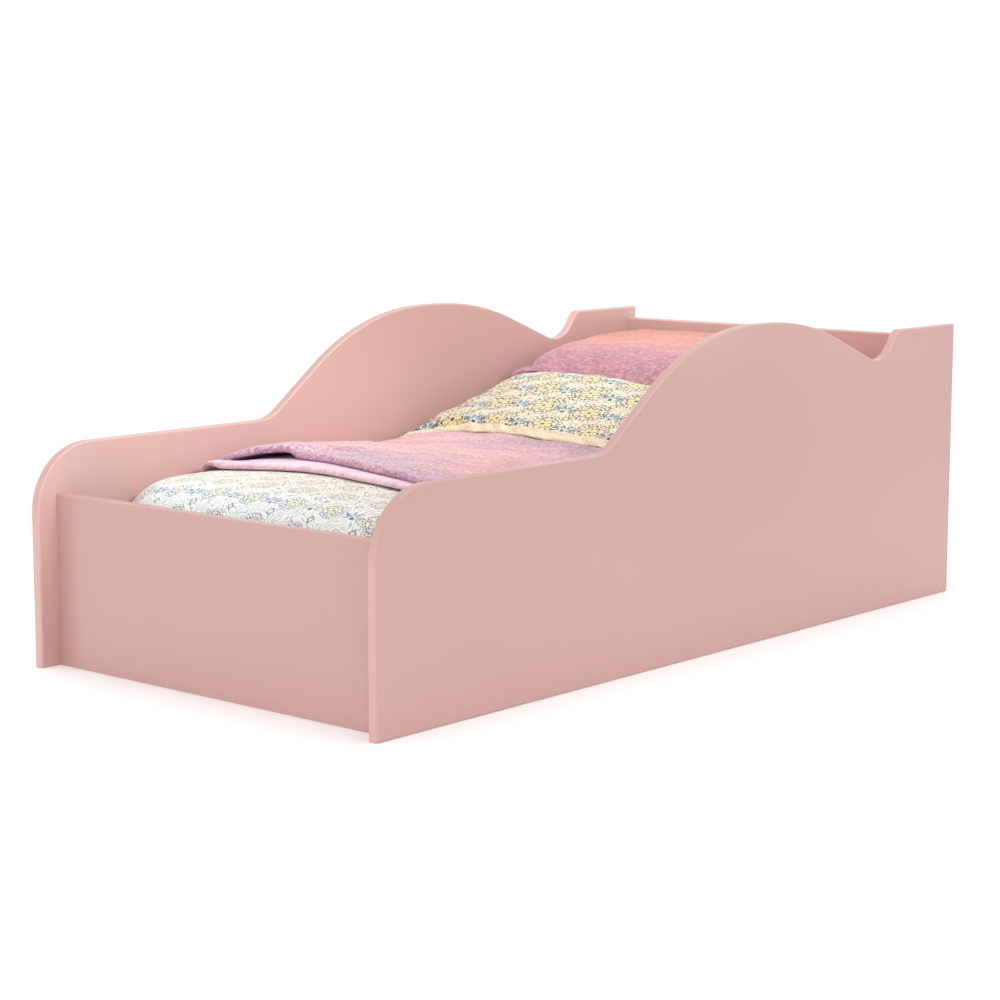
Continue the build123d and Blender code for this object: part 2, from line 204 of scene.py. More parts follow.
def makeGrain():
    tree, given, result = newGroup(
        "woodGrain",
        [("Place", "NodeSocketVector", None), ("Pale", "NodeSocketColor", (1, 1, 1, 1)),
         ("Dark", "NodeSocketColor", (0, 0, 0, 1))],
        [("Colour", "NodeSocketColor"), ("Height", "NodeSocketFloat")],
    )
    rings = speckle(tree, given["Place"], grainLook["rings"], 3, 0.55, grainLook["ringStretch"])
    fibre = speckle(tree, given["Place"], grainLook["fibre"], 4, 0.6, grainLook["fibreStretch"])
    bands = calc(tree, "FRACT", calc(tree, "MULTIPLY", rings, grainLook["bands"]))
    streaks = calc(tree, "MULTIPLY", fibre, grainLook["fibreShare"])
    tone = calc(tree, "MULTIPLY_ADD", bands, grainLook["bandShare"], streaks)
    tree.links.new(mixed(tree, tone, given["Pale"], given["Dark"]), result["Colour"])
    tree.links.new(fibre, result["Height"])
    return tree


weave = makeWeave()
grain = makeGrain()


# Printed ornament: rosettes in a half-drop lattice, leaf fans between them, dots and wavy rings
# Its sizes are in parts of the repeat, which is 110 wide, and the wobble of its lines is in metres

motif = {
    "width": 110, "height": 77, "wobble": 0.007, "wobbleScale": 75,
    "rings": {"pitch": 8.5, "line": 0.15, "blur": 0.16, "wander": 46, "wanderScale": 40, "strength": 0.85},
    "fan": {"leaves": 9, "size": 27, "hollow": 0.25, "drop": 12, "cut": 14, "margin": 4, "outline": 1.2,
            "vein": 13, "veinHollow": 0.1, "stem": 4.5},
    "rosette": {"petals": 6, "size": 23, "hollow": 0.4, "margin": 6, "outline": 2.1, "secondAt": 5.5, "second": 1.0,
                "heart": 10.5, "heartHollow": 0.3, "heartLine": 0.7, "eye": 4},
    "faintLine": 0.7,
    "dotRings": [{"count": 22, "radius": 31, "size": 2.5, "strength": 1.0},
                 {"count": 27, "radius": 38, "size": 2.3, "strength": 0.8}],
    "gem": {"size": 9, "border": 3},
}


def makeOrnament():
    tree, given, result = newGroup(
        "ornamentPrint",
        [("Place", "NodeSocketVector", None), ("Repeat", "NodeSocketFloat", 0.11),
         ("Ground", "NodeSocketColor", (1, 1, 1, 1)), ("Petal", "NodeSocketColor", (1, 1, 0, 1)),
         ("Leaf", "NodeSocketColor", (0, 0, 1, 1)), ("Ink", "NodeSocketColor", (0, 0, 0, 1)),
         ("Ring", "NodeSocketColor", (0.5, 0.5, 0.5, 1)), ("Bloom", "NodeSocketFloat", 1.0)],
        [("Colour", "NodeSocketColor")],
    )
    wobble = tree.nodes.new("ShaderNodeTexNoise")
    wobble.inputs["Scale"].default_value = motif["wobbleScale"]
    wobble.inputs["Detail"].default_value = 1
    tree.links.new(given["Place"], wobble.inputs["Vector"])
    shift = tree.nodes.new("ShaderNodeVectorMath")
    shift.operation = "MULTIPLY_ADD"
    tree.links.new(wobble.outputs["Color"], shift.inputs[0])
    shift.inputs[1].default_value = (motif["wobble"], motif["wobble"], 0)
    tree.links.new(given["Place"], shift.inputs[2])
    placeX, placeY, _ = axes(tree, shift.outputs[0])
    width, height = motif["width"], motif["height"]
    across = calc(tree, "DIVIDE", placeX, given["Repeat"])
    along = calc(tree, "DIVIDE", placeY, calc(tree, "MULTIPLY", given["Repeat"], height / width))

    # place inside one cell of the lattice, from its middle
    def cell(dropAcross, dropAlong):
        v = calc(tree, "ADD", along, dropAlong)
        odd = calc(tree, "MULTIPLY", calc(tree, "FLOORED_MODULO", calc(tree, "FLOOR", v), 2), 0.5)
        u = calc(tree, "ADD", calc(tree, "ADD", across, dropAcross), odd)
        x = calc(tree, "MULTIPLY_ADD", calc(tree, "FRACT", u), width, -width / 2)
        y = calc(tree, "MULTIPLY_ADD", calc(tree, "FRACT", v), height, -height / 2)
        return x, y

    def polar(x, y):
        reach = calc(tree, "SQRT", calc(tree, "MULTIPLY_ADD", x, x, calc(tree, "MULTIPLY", y, y)))
        return reach, calc(tree, "ARCTAN2", y, x)

    def soft(distance, blur=0.9):
        return calc(tree, "MULTIPLY_ADD", distance, 1 / blur, 0.5, clamp=True)

    def petals(reach, angle, count, size, hollow):
        wave = calc(tree, "ABSOLUTE", calc(tree, "COSINE", calc(tree, "MULTIPLY", angle, count / 2)))
        rim = calc(tree, "MULTIPLY_ADD", wave, size * (1 - hollow), size * hollow)
        return calc(tree, "SUBTRACT", rim, reach)

    def dots(reach, angle, count, radius, size):
        turn = calc(tree, "MULTIPLY", angle, count / (2 * math.pi))
        side = calc(tree, "MULTIPLY_ADD", calc(tree, "FRACT", turn), 2 * math.pi * radius / count,
                    -math.pi * radius / count)
        out = calc(tree, "SUBTRACT", reach, radius)
        away = calc(tree, "SQRT", calc(tree, "MULTIPLY_ADD", side, side, calc(tree, "MULTIPLY", out, out)))
        return calc(tree, "SUBTRACT", size, away)

    def line(distance, width):
        return calc(tree, "SUBTRACT", width, calc(tree, "ABSOLUTE", distance))

    def over(colour, mask, ink, strength=1.0):
        return mixed(tree, calc(tree, "MULTIPLY", mask, strength), colour, given[ink])

    x, y = cell(0, 0)
    reach, angle = polar(x, y)
    # wavy lines that run round each rosette and meet between them
    rings = motif["rings"]
    rough = speckle(tree, given["Place"], rings["wanderScale"], 2)
    level = calc(tree, "DIVIDE", calc(tree, "MULTIPLY_ADD", rough, rings["wander"], reach), rings["pitch"])
    ring = line(calc(tree, "SUBTRACT", calc(tree, "FRACT", level), 0.5), rings["line"])
    colour = over(given["Ground"], soft(ring, rings["blur"]), "Ring", rings["strength"])
    # leaf fans on the second lattice, each on a dark stem
    fan = motif["fan"]
    fanX, fanY = cell(0.5, 0)
    fanReach, fanAngle = polar(fanX, calc(tree, "ADD", fanY, fan["drop"]))
    fanAngle = calc(tree, "ADD", fanAngle, math.pi / 2)
    upper = soft(calc(tree, "ADD", fanY, fan["cut"]))
    leaves = petals(fanReach, fanAngle, fan["leaves"], fan["size"], fan["hollow"])
    colour = over(colour, calc(tree, "MULTIPLY", soft(calc(tree, "ADD", leaves, fan["margin"])), upper), "Ground")
    colour = over(colour, calc(tree, "MULTIPLY", soft(leaves), upper), "Leaf")
    outline = soft(line(leaves, fan["outline"]))
    colour = over(colour, calc(tree, "MULTIPLY", outline, upper), "Ink", motif["faintLine"])
    vein = petals(fanReach, fanAngle, fan["leaves"], fan["vein"], fan["veinHollow"])
    colour = over(colour, calc(tree, "MULTIPLY", soft(vein), upper), "Ground")
    colour = over(colour, soft(calc(tree, "SUBTRACT", fan["stem"], fanReach)), "Ink")
    # rosettes with a double dark outline
    rosette = motif["rosette"]
    reach = calc(tree, "DIVIDE", reach, given["Bloom"])
    petal = petals(reach, angle, rosette["petals"], rosette["size"], rosette["hollow"])
    colour = over(colour, soft(calc(tree, "ADD", petal, rosette["margin"])), "Ground")
    colour = over(colour, soft(petal), "Petal")
    colour = over(colour, soft(line(petal, rosette["outline"])), "Ink")
    second = line(calc(tree, "ADD", petal, rosette["secondAt"]), rosette["second"])
    colour = over(colour, soft(second), "Ink", motif["faintLine"])
    heart = petals(reach, angle, rosette["petals"], rosette["heart"], rosette["heartHollow"])
    colour = over(colour, soft(heart), "Ground")
    colour = over(colour, soft(line(heart, rosette["heartLine"])), "Ink", motif["faintLine"])
    colour = over(colour, soft(calc(tree, "SUBTRACT", rosette["eye"], reach)), "Ink")
    # rings of dots, and diamonds where four cells meet
    for row in motif["dotRings"]:
        spots = dots(reach, angle, row["count"], row["radius"], row["size"])
        colour = over(colour, soft(spots), "Ink", row["strength"])
    gemX, gemY = cell(0.25, 0.5)
    gemReach = calc(tree, "ADD", calc(tree, "ABSOLUTE", gemX), calc(tree, "ABSOLUTE", gemY))
    gem = calc(tree, "SUBTRACT", motif["gem"]["size"], gemReach)
    colour = over(colour, soft(gem), "Ink")
    colour = over(colour, soft(calc(tree, "SUBTRACT", gem, motif["gem"]["border"])), "Petal")
    tree.links.new(colour, result["Colour"])
    return tree


bandDots = {"jitter": 0.8, "sharp": 6, "size": 0.25}


def makeDots():
    tree, given, result = newGroup(
        "dottedBand",
        [("Place", "NodeSocketVector", None), ("Pitch", "NodeSocketFloat", 0.009),
         ("Ground", "NodeSocketColor", (1, 1, 1, 1)), ("Dot", "NodeSocketColor", (0, 0, 0, 1))],
        [("Colour", "NodeSocketColor")],
    )
    scaled = tree.nodes.new("ShaderNodeVectorMath")
    scaled.operation = "SCALE"
    tree.links.new(given["Place"], scaled.inputs[0])
    tree.links.new(calc(tree, "DIVIDE", 1.0, given["Pitch"]), scaled.inputs["Scale"])
    cells = tree.nodes.new("ShaderNodeTexVoronoi")
    cells.voronoi_dimensions = "2D"
    cells.inputs["Scale"].default_value = 1
    cells.inputs["Randomness"].default_value = bandDots["jitter"]
    tree.links.new(scaled.outputs[0], cells.inputs["Vector"])
    sharp = bandDots["sharp"]
    mask = calc(tree, "MULTIPLY_ADD", cells.outputs["Distance"], -sharp, sharp * bandDots["size"], clamp=True)
    tree.links.new(mixed(tree, mask, given["Ground"], given["Dot"]), result["Colour"])
    return tree


ornament = makeOrnament()
dottedBand = makeDots()

inks = {
    "cream": linear(226, 213, 188),
    "chalk": linear(230, 226, 217),
    "butter": linear(226, 206, 140),
    "vanilla": linear(230, 218, 180),
    "slate": linear(92, 130, 156),
    "sky": linear(104, 144, 176),
    "umber": linear(62, 47, 46),
    "bark": linear(126, 106, 92),
    "navy": linear(62, 84, 108),
    "mist": linear(150, 176, 198),
    "taupe": linear(140, 112, 92),
    "straw": linear(230, 212, 184),
    "bronze": linear(184, 144, 100),
}


# Rigid finishes

# band is the pair of edge colours of painted light: a paler painted highlight for upright edges, a deeper painted shade
# for edges facing up
paint = {"cloud": 3.5, "face": (linear(195, 152, 145), linear(200, 157, 150)),
         "band": (linear(211, 166, 158), linear(186, 143, 136)), "edgeLightMask": (-2.5, 1.6),
         "gloss": (0.12, 0.3), "glossScale": 9, "peel": 55, "peelStrength": 0.03, "peelDepth": 0.0005}
plastic = {"fine": 900, "pale": linear(222, 180, 172), "dark": linear(210, 166, 158), "strength": 0.15, "depth": 0.0003}
timber = {"rough": (0.25, 0.5), "strength": 0.25, "depth": 0.0008}
zinc = {"scratch": 700, "bright": linear(226, 222, 214), "strength": 0.1, "depth": 0.0002}


def lacquer(name, flatAxis):
    material, tree, shader = newMaterial(name, Coat_Weight=0.4, Coat_Roughness=0.1)
    place = objectPlace(tree)
    face = mixed(tree, speckle(tree, place, paint["cloud"], 2), *paint["face"])
    # the narrow edges get a band of painted light: a painted highlight on upright edges and painted shade on edges that
    # face up
    normal = axes(tree, tree.nodes.new("ShaderNodeNewGeometry").outputs["Normal"])
    facing = calc(tree, "ABSOLUTE", normal[flatAxis])
    edge = calc(tree, "MULTIPLY_ADD", facing, *paint["edgeLightMask"], clamp=True)
    # edges that face up take the deeper tone, as painted shade
    upFacingShade = calc(tree, "MULTIPLY", normal[2], 1.0, clamp=True)
    band = mixed(tree, upFacingShade, *paint["band"])
    tree.links.new(mixed(tree, edge, face, band), shader.inputs["Base Color"])
    gloss = calc(tree, "MULTIPLY_ADD", speckle(tree, place, paint["glossScale"], 2), *paint["gloss"])
    tree.links.new(gloss, shader.inputs["Roughness"])
    bump(tree, shader, speckle(tree, place, paint["peel"], 1), paint["peelStrength"], paint["peelDepth"])
    return material


def capPlastic():
    material, tree, shader = newMaterial("capPlastic", Roughness=0.5)
    fine = speckle(tree, objectPlace(tree), plastic["fine"], 2)
    tree.links.new(mixed(tree, fine, plastic["dark"], plastic["pale"]), shader.inputs["Base Color"])
    bump(tree, shader, fine, plastic["strength"], plastic["depth"])
    return material


def rawWood(name, pale, dark, grainAxis):
    material, tree, shader = newMaterial(name)
    turn = tree.nodes.new("ShaderNodeMapping")
    tree.links.new(objectPlace(tree), turn.inputs["Vector"])
    turn.inputs["Rotation"].default_value = (0, 0, math.pi / 2 if grainAxis == "y" else 0)
    parts = placeGroup(tree, grain, Place=turn.outputs[0], Pale=pale, Dark=dark)
    tree.links.new(parts["Colour"], shader.inputs["Base Color"])
    tree.links.new(calc(tree, "MULTIPLY_ADD", parts["Height"], *timber["rough"]), shader.inputs["Roughness"])
    bump(tree, shader, parts["Height"], timber["strength"], timber["depth"])
    return material


def plated(name, colour, roughLow, roughHigh, brushed):
    material, tree, shader = newMaterial(name, Metallic=1.0)
    scratch = speckle(tree, objectPlace(tree), zinc["scratch"], 3, 0.6, brushed)
    tree.links.new(mixed(tree, scratch, colour, zinc["bright"]), shader.inputs["Base Color"])
    tree.links.new(calc(tree, "MULTIPLY_ADD", scratch, roughHigh - roughLow, roughLow), shader.inputs["Roughness"])
    bump(tree, shader, scratch, zinc["strength"], zinc["depth"])
    return material


finishes = {
    "panel": lacquer("pinkPanel", 0),
    "endBoard": lacquer("pinkEndBoard", 1),
    "cap": capPlastic(),
    "slat": rawWood("pineSlat", linear(232, 206, 160), linear(206, 166, 112), "x"),
    "batten": rawWood("pineBatten", linear(228, 200, 152), linear(202, 160, 106), "y"),
    "dowel": rawWood("beechDowel", linear(222, 186, 140), linear(196, 152, 106), "x"),
    "screw": plated("zincScrew", linear(198, 186, 150), 0.22, 0.4, (1, 1, 4)),
    "cam": plated("castZinc", linear(170, 170, 172), 0.35, 0.6, None),
}
wearing = {
    "panel": ["left_side_panel", "right_side_panel"],
    "endBoard": ["footboard", "headboard"],
    "cap": ["cam_caps"],
    "slat": [name for name in nodes if name.startswith("slat_") and name != "slat_screws"],
    "batten": ["left_slat_batten", "right_slat_batten"],
    "dowel": ["dowels"],
    "screw": ["slat_screws", "batten_screws", "cam_bolts"],
    "cam": ["cam_locks"],
}
for finish, names in wearing.items():
    for name in names:
        nodes[name].data.materials.clear()
        nodes[name].data.materials.append(finishes[finish])
print("rigid finishes on", sum(len(names) for names in wearing.values()), "nodes")


# Soft finishes

smoothCloth = {"rough": 0.85, "threads": 900, "relief": 0.0009}
pileCloth = {"rough": 0.92, "threads": 620, "relief": 0.0022, "fuzz": 190, "streakStretch": (0.3, 1.7, 1)}
inkChange = {"scale": 14, "wander": 0.16, "sharp": 12}
foamPores = {"scale": 420, "dark": linear(214, 200, 170), "pale": linear(244, 234, 208),
             "strength": 0.5, "depth": 0.001}


def clothFinish(name, cloth):
    material, tree, shader = newMaterial(name, Roughness=cloth["rough"], Sheen_Weight=0.25, Sheen_Roughness=0.5)
    place = clothPlace(tree)
    parts = placeGroup(tree, weave, Place=place, Threads=float(cloth["threads"]))
    bump(tree, shader, parts["Height"], 0.3, cloth["relief"])
    return material, tree, shader, place, parts["Shade"]


def printedCloth(name, look):
    material, tree, shader, place, shade = clothFinish(name, smoothCloth)
    layers = [placeGroup(tree, ornament, Place=place, Repeat=look["repeat"], Bloom=look["bloom"],
                         **{part: inks[ink] for part, ink in colours.items()})["Colour"] for colours in look["inks"]]
    colour = layers[0]
    if len(layers) > 1:
        # towards the foot the same drawing changes to a second set of inks
        rough = speckle(tree, place, inkChange["scale"], 2)
        near = calc(tree, "MULTIPLY_ADD", rough, inkChange["wander"], axes(tree, place)[1])
        sharp = inkChange["sharp"]
        colour = mixed(tree, calc(tree, "MULTIPLY_ADD", near, -sharp, look["change"] * sharp, clamp=True),
                       colour, layers[1])
    if "strips" in look:
        # plain strips with fine dots along the edges
        strip = placeGroup(tree, dottedBand, Place=place, Pitch=look["dotPitch"], Ground=inks["straw"],
                           Dot=inks["bronze"])["Colour"]
        run = axes(tree, place)[1]
        for middle, half in look["strips"]:
            away = calc(tree, "ABSOLUTE", calc(tree, "SUBTRACT", run, middle))
            mask = calc(tree, "MULTIPLY_ADD", away, -look["stripSharp"], half * look["stripSharp"], clamp=True)
            colour = mixed(tree, mask, colour, strip)
    tree.links.new(shaded(tree, colour, shade), shader.inputs["Base Color"])
    return material


def around(tree, value, strength):
    # swings about 1, so that it shades a colour without changing its mean
    return calc(tree, "MULTIPLY_ADD", value, strength, 1 - strength / 2)


# pile cloth with an ombre dye ramp, plus painted shade in creases and toward the throw's near side, and painted
# highlights on the pile tips
def fadedCloth(name, look):
    material, tree, shader, place, shade = clothFinish(name, pileCloth)
    x, y, _ = axes(tree, place)
    blot = speckle(tree, place, look["blots"], 3, 0.55, look["blotStretch"])
    # the place across the cloth moves the ramp; on the throw this darkens the near side as painted shade
    fade = calc(tree, "MULTIPLY_ADD", x, look["dyeAndShadeAcross"], look["fadeStart"])
    fade = calc(tree, "MULTIPLY_ADD", y, look["fadeAlong"], fade)
    fade = calc(tree, "MULTIPLY_ADD", blot, look["blotting"], fade)
    fuzz = speckle(tree, place, pileCloth["fuzz"], 5, 0.7, look["napStretch"])
    colour = ramp(tree, fade, look["dyesAndShade"])
    nap = calc(tree, "MULTIPLY_ADD", fuzz, look["napSharp"], look["napMean"] - look["napSharp"] / 2, clamp=True)
    colour = mixed(tree, nap, colour, look["nap"])
    # painted shade of soft creases in long streaks, and a painted highlight where the pile's tips catch more light than
    # its hollows
    brushed = speckle(tree, place, look["streaks"], 4, 0.6, pileCloth["streakStretch"])
    colour = shaded(tree, colour, around(tree, brushed, look["creaseShade"]))
    colour = shaded(tree, colour, around(tree, fuzz, look["tips"]))
    tree.links.new(shaded(tree, colour, shade), shader.inputs["Base Color"])
    return material


def foamFinish():
    material, tree, shader = newMaterial("creamFoam", Roughness=0.95)
    pores = tree.nodes.new("ShaderNodeTexVoronoi")
    pores.inputs["Scale"].default_value = foamPores["scale"]
    tree.links.new(objectPlace(tree), pores.inputs["Vector"])
    # the pore hollows are painted darker than their rims: painted shade in the pores
    depth = pores.outputs["Distance"]
    tree.links.new(mixed(tree, depth, foamPores["dark"], foamPores["pale"]), shader.inputs["Base Color"])
    bump(tree, shader, depth, foamPores["strength"], foamPores["depth"])
    return material


# Mesh helpers

def meshPiece(name, points, faces, uvs, material):
    mesh = bpy.data.meshes.new(name)
    mesh.from_pydata([tuple(map(float, p)) for p in points], [], faces)
    layer = mesh.uv_layers.new(name="cloth")
    corner = np.empty(len(mesh.loops), dtype=np.int32)
    mesh.loops.foreach_get("vertex_index", corner)
    layer.data.foreach_set("uv", np.asarray(uvs, dtype=np.float32)[corner].ravel())
    mesh.polygons.foreach_set("use_smooth", [True] * len(mesh.polygons))
    mesh.materials.append(material)
    mesh.update()
    piece = bpy.data.objects.new(name, mesh)
    scene.collection.objects.link(piece)
    return piece


def stripFaces(rows, columns, closed=False):
    faces = []
    for i in range(rows - 1):
        for j in range(columns if closed else columns - 1):
            a, b = i * columns + j, i * columns + (j + 1) % columns
            faces.append((a, b, b + columns, a + columns))
    return faces


def ripple(points, scale, seed):
    return np.array([noise.noise(Vector((p[0] * scale + seed, p[1] * scale - seed, p[2] * scale))) for p in points])


def weld(piece):
    shape = bmesh.new()
    shape.from_mesh(piece.data)
    bmesh.ops.remove_doubles(shape, verts=shape.verts, dist=0.0002)
    bmesh.ops.recalc_face_normals(shape, faces=shape.faces)
    shape.to_mesh(piece.data)
    shape.free()
    piece.data.update()


# Stitches: a Geometry Nodes tree sets short threads along a path that lies on the cloth

stitch = {"pitch": 0.0052, "length": 0.0034, "radius": 0.00042, "sides": 6, "proud": 0.0002,
          "twist": 1400, "strength": 0.2, "depth": 0.0002}


def makeStitchTree():
    tree = bpy.data.node_groups.new("stitchRow", "GeometryNodeTree")
    tree.interface.new_socket("Geometry", in_out="INPUT", socket_type="NodeSocketGeometry")
    for label in ("Pitch", "Length", "Radius"):
        tree.interface.new_socket(label, in_out="INPUT", socket_type="NodeSocketFloat")
    tree.interface.new_socket("Thread", in_out="INPUT", socket_type="NodeSocketMaterial")
    tree.interface.new_socket("Geometry", in_out="OUTPUT", socket_type="NodeSocketGeometry")

    def add(kind):
        return tree.nodes.new("GeometryNode" + kind)

    given, result = tree.nodes.new("NodeGroupInput").outputs, tree.nodes.new("NodeGroupOutput").inputs
    curve, points, thread, rows, real, paint = (
        add("MeshToCurve"), add("CurveToPoints"), add("MeshCylinder"), add("InstanceOnPoints"),
        add("RealizeInstances"), add("SetMaterial"))
    points.mode = "LENGTH"
    thread.inputs["Vertices"].default_value = stitch["sides"]
    for source, target in (
            (given["Geometry"], curve.inputs["Mesh"]), (curve.outputs["Curve"], points.inputs["Curve"]),
            (given["Pitch"], points.inputs["Length"]), (given["Radius"], thread.inputs["Radius"]),
            (given["Length"], thread.inputs["Depth"]), (points.outputs["Points"], rows.inputs["Points"]),
            (points.outputs["Rotation"], rows.inputs["Rotation"]), (thread.outputs["Mesh"], rows.inputs["Instance"]),
            (rows.outputs["Instances"], real.inputs["Geometry"]), (real.outputs["Geometry"], paint.inputs["Geometry"]),
            (given["Thread"], paint.inputs["Material"]), (paint.outputs["Geometry"], result["Geometry"])):
        tree.links.new(source, target)
    return tree


def threadFinish(name, pale, dark):
    material, tree, shader = newMaterial(name, Roughness=0.6, Sheen_Weight=0.3)
    twist = speckle(tree, objectPlace(tree), stitch["twist"], 2)
    tree.links.new(mixed(tree, twist, dark, pale), shader.inputs["Base Color"])
    bump(tree, shader, twist, stitch["strength"], stitch["depth"])
    return material


stitchTree = makeStitchTree()


def stitchPiece(name, cloth, paths, material):
    # each path is drawn onto the finished cloth, then carries the row of threads
    settled = bpy.context.evaluated_depsgraph_get()
    surface = BVHTree.FromObject(cloth.evaluated_get(settled), settled)
    points, edges = [], []
    for path in paths:
        first = len(points)
        for spot in path:
            place, normal, _, _ = surface.find_nearest(Vector(spot))
            points.append(place + normal * stitch["proud"])
        edges += [(k, k + 1) for k in range(first, len(points) - 1)]
    mesh = bpy.data.meshes.new(name)
    mesh.from_pydata(points, edges, [])
    row = bpy.data.objects.new(name + "Row", mesh)
    scene.collection.objects.link(row)
    modifier = row.modifiers.new("stitches", "NODES")
    modifier.node_group = stitchTree
    sockets = {item.name: item.identifier for item in stitchTree.interface.items_tree if item.in_out == "INPUT"}
    for label in ("Pitch", "Length", "Radius"):
        modifier[sockets[label]] = stitch[label.lower()]
    modifier[sockets["Thread"]] = material
    threads = row.evaluated_get(bpy.context.evaluated_depsgraph_get())
    piece = bpy.data.objects.new(name, bpy.data.meshes.new_from_object(threads))
    scene.collection.objects.link(piece)
    bpy.data.objects.remove(row)
    return piece


# Mattress: a crowned block with rounded corners, as rings from its middle line to its hem

sheetLow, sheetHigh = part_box("fitted_sheet")
bed = {
    "halfWidth": sheetHigh.x, "halfLength": (sheetHigh.y - sheetLow.y) / 2,
    "middle": (sheetHigh.y + sheetLow.y) / 2, "top": sheetHigh.z, "bottom": sheetLow.z,
    "crown": 0.020, "corner": 0.190, "topRound": 0.060, "bottomRound": 0.014, "hem": 0.080,
    "footFall": 0.028, "footRun": 0.145,
    "steps": {"top": 30, "topRound": 11, "side": 9, "bottomRound": 6, "under": 9},
}
bed["crownRadius"] = (bed["halfWidth"] ** 2 + bed["crown"] ** 2) / (2 * bed["crown"])


def crownFall(x):
    return bed["crownRadius"] - np.sqrt(bed["crownRadius"] ** 2 - np.minimum(np.abs(x), bed["halfWidth"]) ** 2)


def footFall(y):
    share = np.clip((bed["footRun"] - (y - (bed["middle"] - bed["halfLength"]))) / bed["footRun"], 0, 1)
    return bed["footFall"] * share ** 2


def bedTop(x, y):
    return bed["top"] - crownFall(x) - footFall(y)


def contour(inset, count):
    # points and outward directions round the block, at the same share of the way at every inset
    width, length = bed["halfWidth"] - inset, bed["halfLength"] - inset
    radius = bed["corner"] * max(1 - inset / bed["halfWidth"], 0)
    cx, cy = width - radius, length - radius
    corners = [(cx, -cy), (cx, cy), (-cx, cy), (-cx, -cy)]
    longSide, shortSide = 2 * (bed["halfLength"] - bed["corner"]), 2 * (bed["halfWidth"] - bed["corner"])
    arc = bed["corner"] * math.pi / 2
    total = 2 * (longSide + shortSide) + 4 * arc
    points, normals = [], []
    for k in range(count):
        s = (k / count * total + longSide / 2) % total
        for side in range(4):
            straight = shortSide if side % 2 else longSide
            if s <= straight + arc or side == 3:
                break
            s -= straight + arc
        t, bend = (s / straight, 0) if s <= straight else (1, (s - straight) / arc * math.pi / 2)
        start, end = corners[side], corners[(side + 1) % 4]
        angle = side * math.pi / 2 + bend
        nx, ny = math.cos(angle), math.sin(angle)
        points.append((start[0] * (1 - t) + end[0] * t + radius * nx, start[1] * (1 - t) + end[1] * t + radius * ny))
        normals.append((nx, ny))
    return np.array(points), np.array(normals)


def blockRings(inset, count, closedBottom):
    topRound, bottomRound, steps = bed["topRound"], bed["bottomRound"], bed["steps"]
    low = bed["bottom"] + inset
    rings, uvs = [], []
    _, normal = contour(0, count)

    def ring(distance, height, run):
        flat, _ = contour(distance + inset, count)
        spots = np.column_stack([flat[:, 0], flat[:, 1] + bed["middle"], np.zeros(count)])
        spots[:, 2] = height(spots[:, 0], spots[:, 1])
        rings.append(spots)
        uvs.append(flat + normal * run + np.array([0, bed["middle"]]))

    def level(x, y):
        return bedTop(x, y) - inset

    for step in np.linspace(1, 0, steps["top"])[:-1]:
        ring(topRound + step * (bed["halfWidth"] - topRound - inset), level, 0)
    run = 0.0
    for turn in np.linspace(0, math.pi / 2, steps["topRound"]):
        reach = topRound * (1 - math.sin(turn))
        run = topRound * turn - (topRound - reach)
        ring(reach, lambda x, y: level(x, y) - topRound * (1 - math.cos(turn)), run)
    edge = rings[-1][:, 2].copy()
    foot = low + bottomRound
    drop = float(np.mean(edge)) - foot
    for step in np.linspace(0, 1, steps["side"])[1:]:
        ring(0, lambda x, y: edge * (1 - step) + foot * step, run + drop * step)
    run += drop
    for turn in np.linspace(0, math.pi / 2, steps["bottomRound"])[1:]:
        reach = bottomRound * (1 - math.cos(turn))
        ring(reach, lambda x, y: np.full(count, foot - bottomRound * math.sin(turn)), run + bottomRound * turn + reach)
    run += bottomRound * (1 + math.pi / 2)
    far = bed["halfWidth"] - inset if closedBottom else bed["hem"]
    for step in np.linspace(0, 1, steps["under"])[1:]:
        reach = bottomRound + (far - bottomRound) * step
        ring(reach, lambda x, y: np.full(count, low), run + 2 * (reach - bottomRound))
    return np.array(rings), np.array(uvs)


sheetSettings = {
    "around": 440, "inset": 0.0007, "thickness": 0.0010, "flat": (1.10, 1.80), "flatArea": 1.82,
    "wrinkle": 0.0011, "slack": 0.4, "wrinkleFrom": 0.03, "wrinkleOver": 0.08,
    "broad": {"scale": 9, "seed": 3.1, "share": 0.7, "stretch": (1.0, 0.45, 1.0)},
    "fine": {"scale": 26, "seed": 8.4, "share": 0.3},
    "gather": 0.0025, "gathers": 90, "gatherRings": 5,
    "look": {"repeat": 0.084, "bloom": 0.75, "change": -0.47, "inks": [
        {"Ground": "chalk", "Petal": "vanilla", "Leaf": "straw", "Ink": "bark", "Ring": "taupe"},
        {"Ground": "chalk", "Petal": "vanilla", "Leaf": "sky", "Ink": "navy", "Ring": "mist"}]},
}
foamSettings = {"around": 240, "inset": 0.0026, "fill": 0.9}


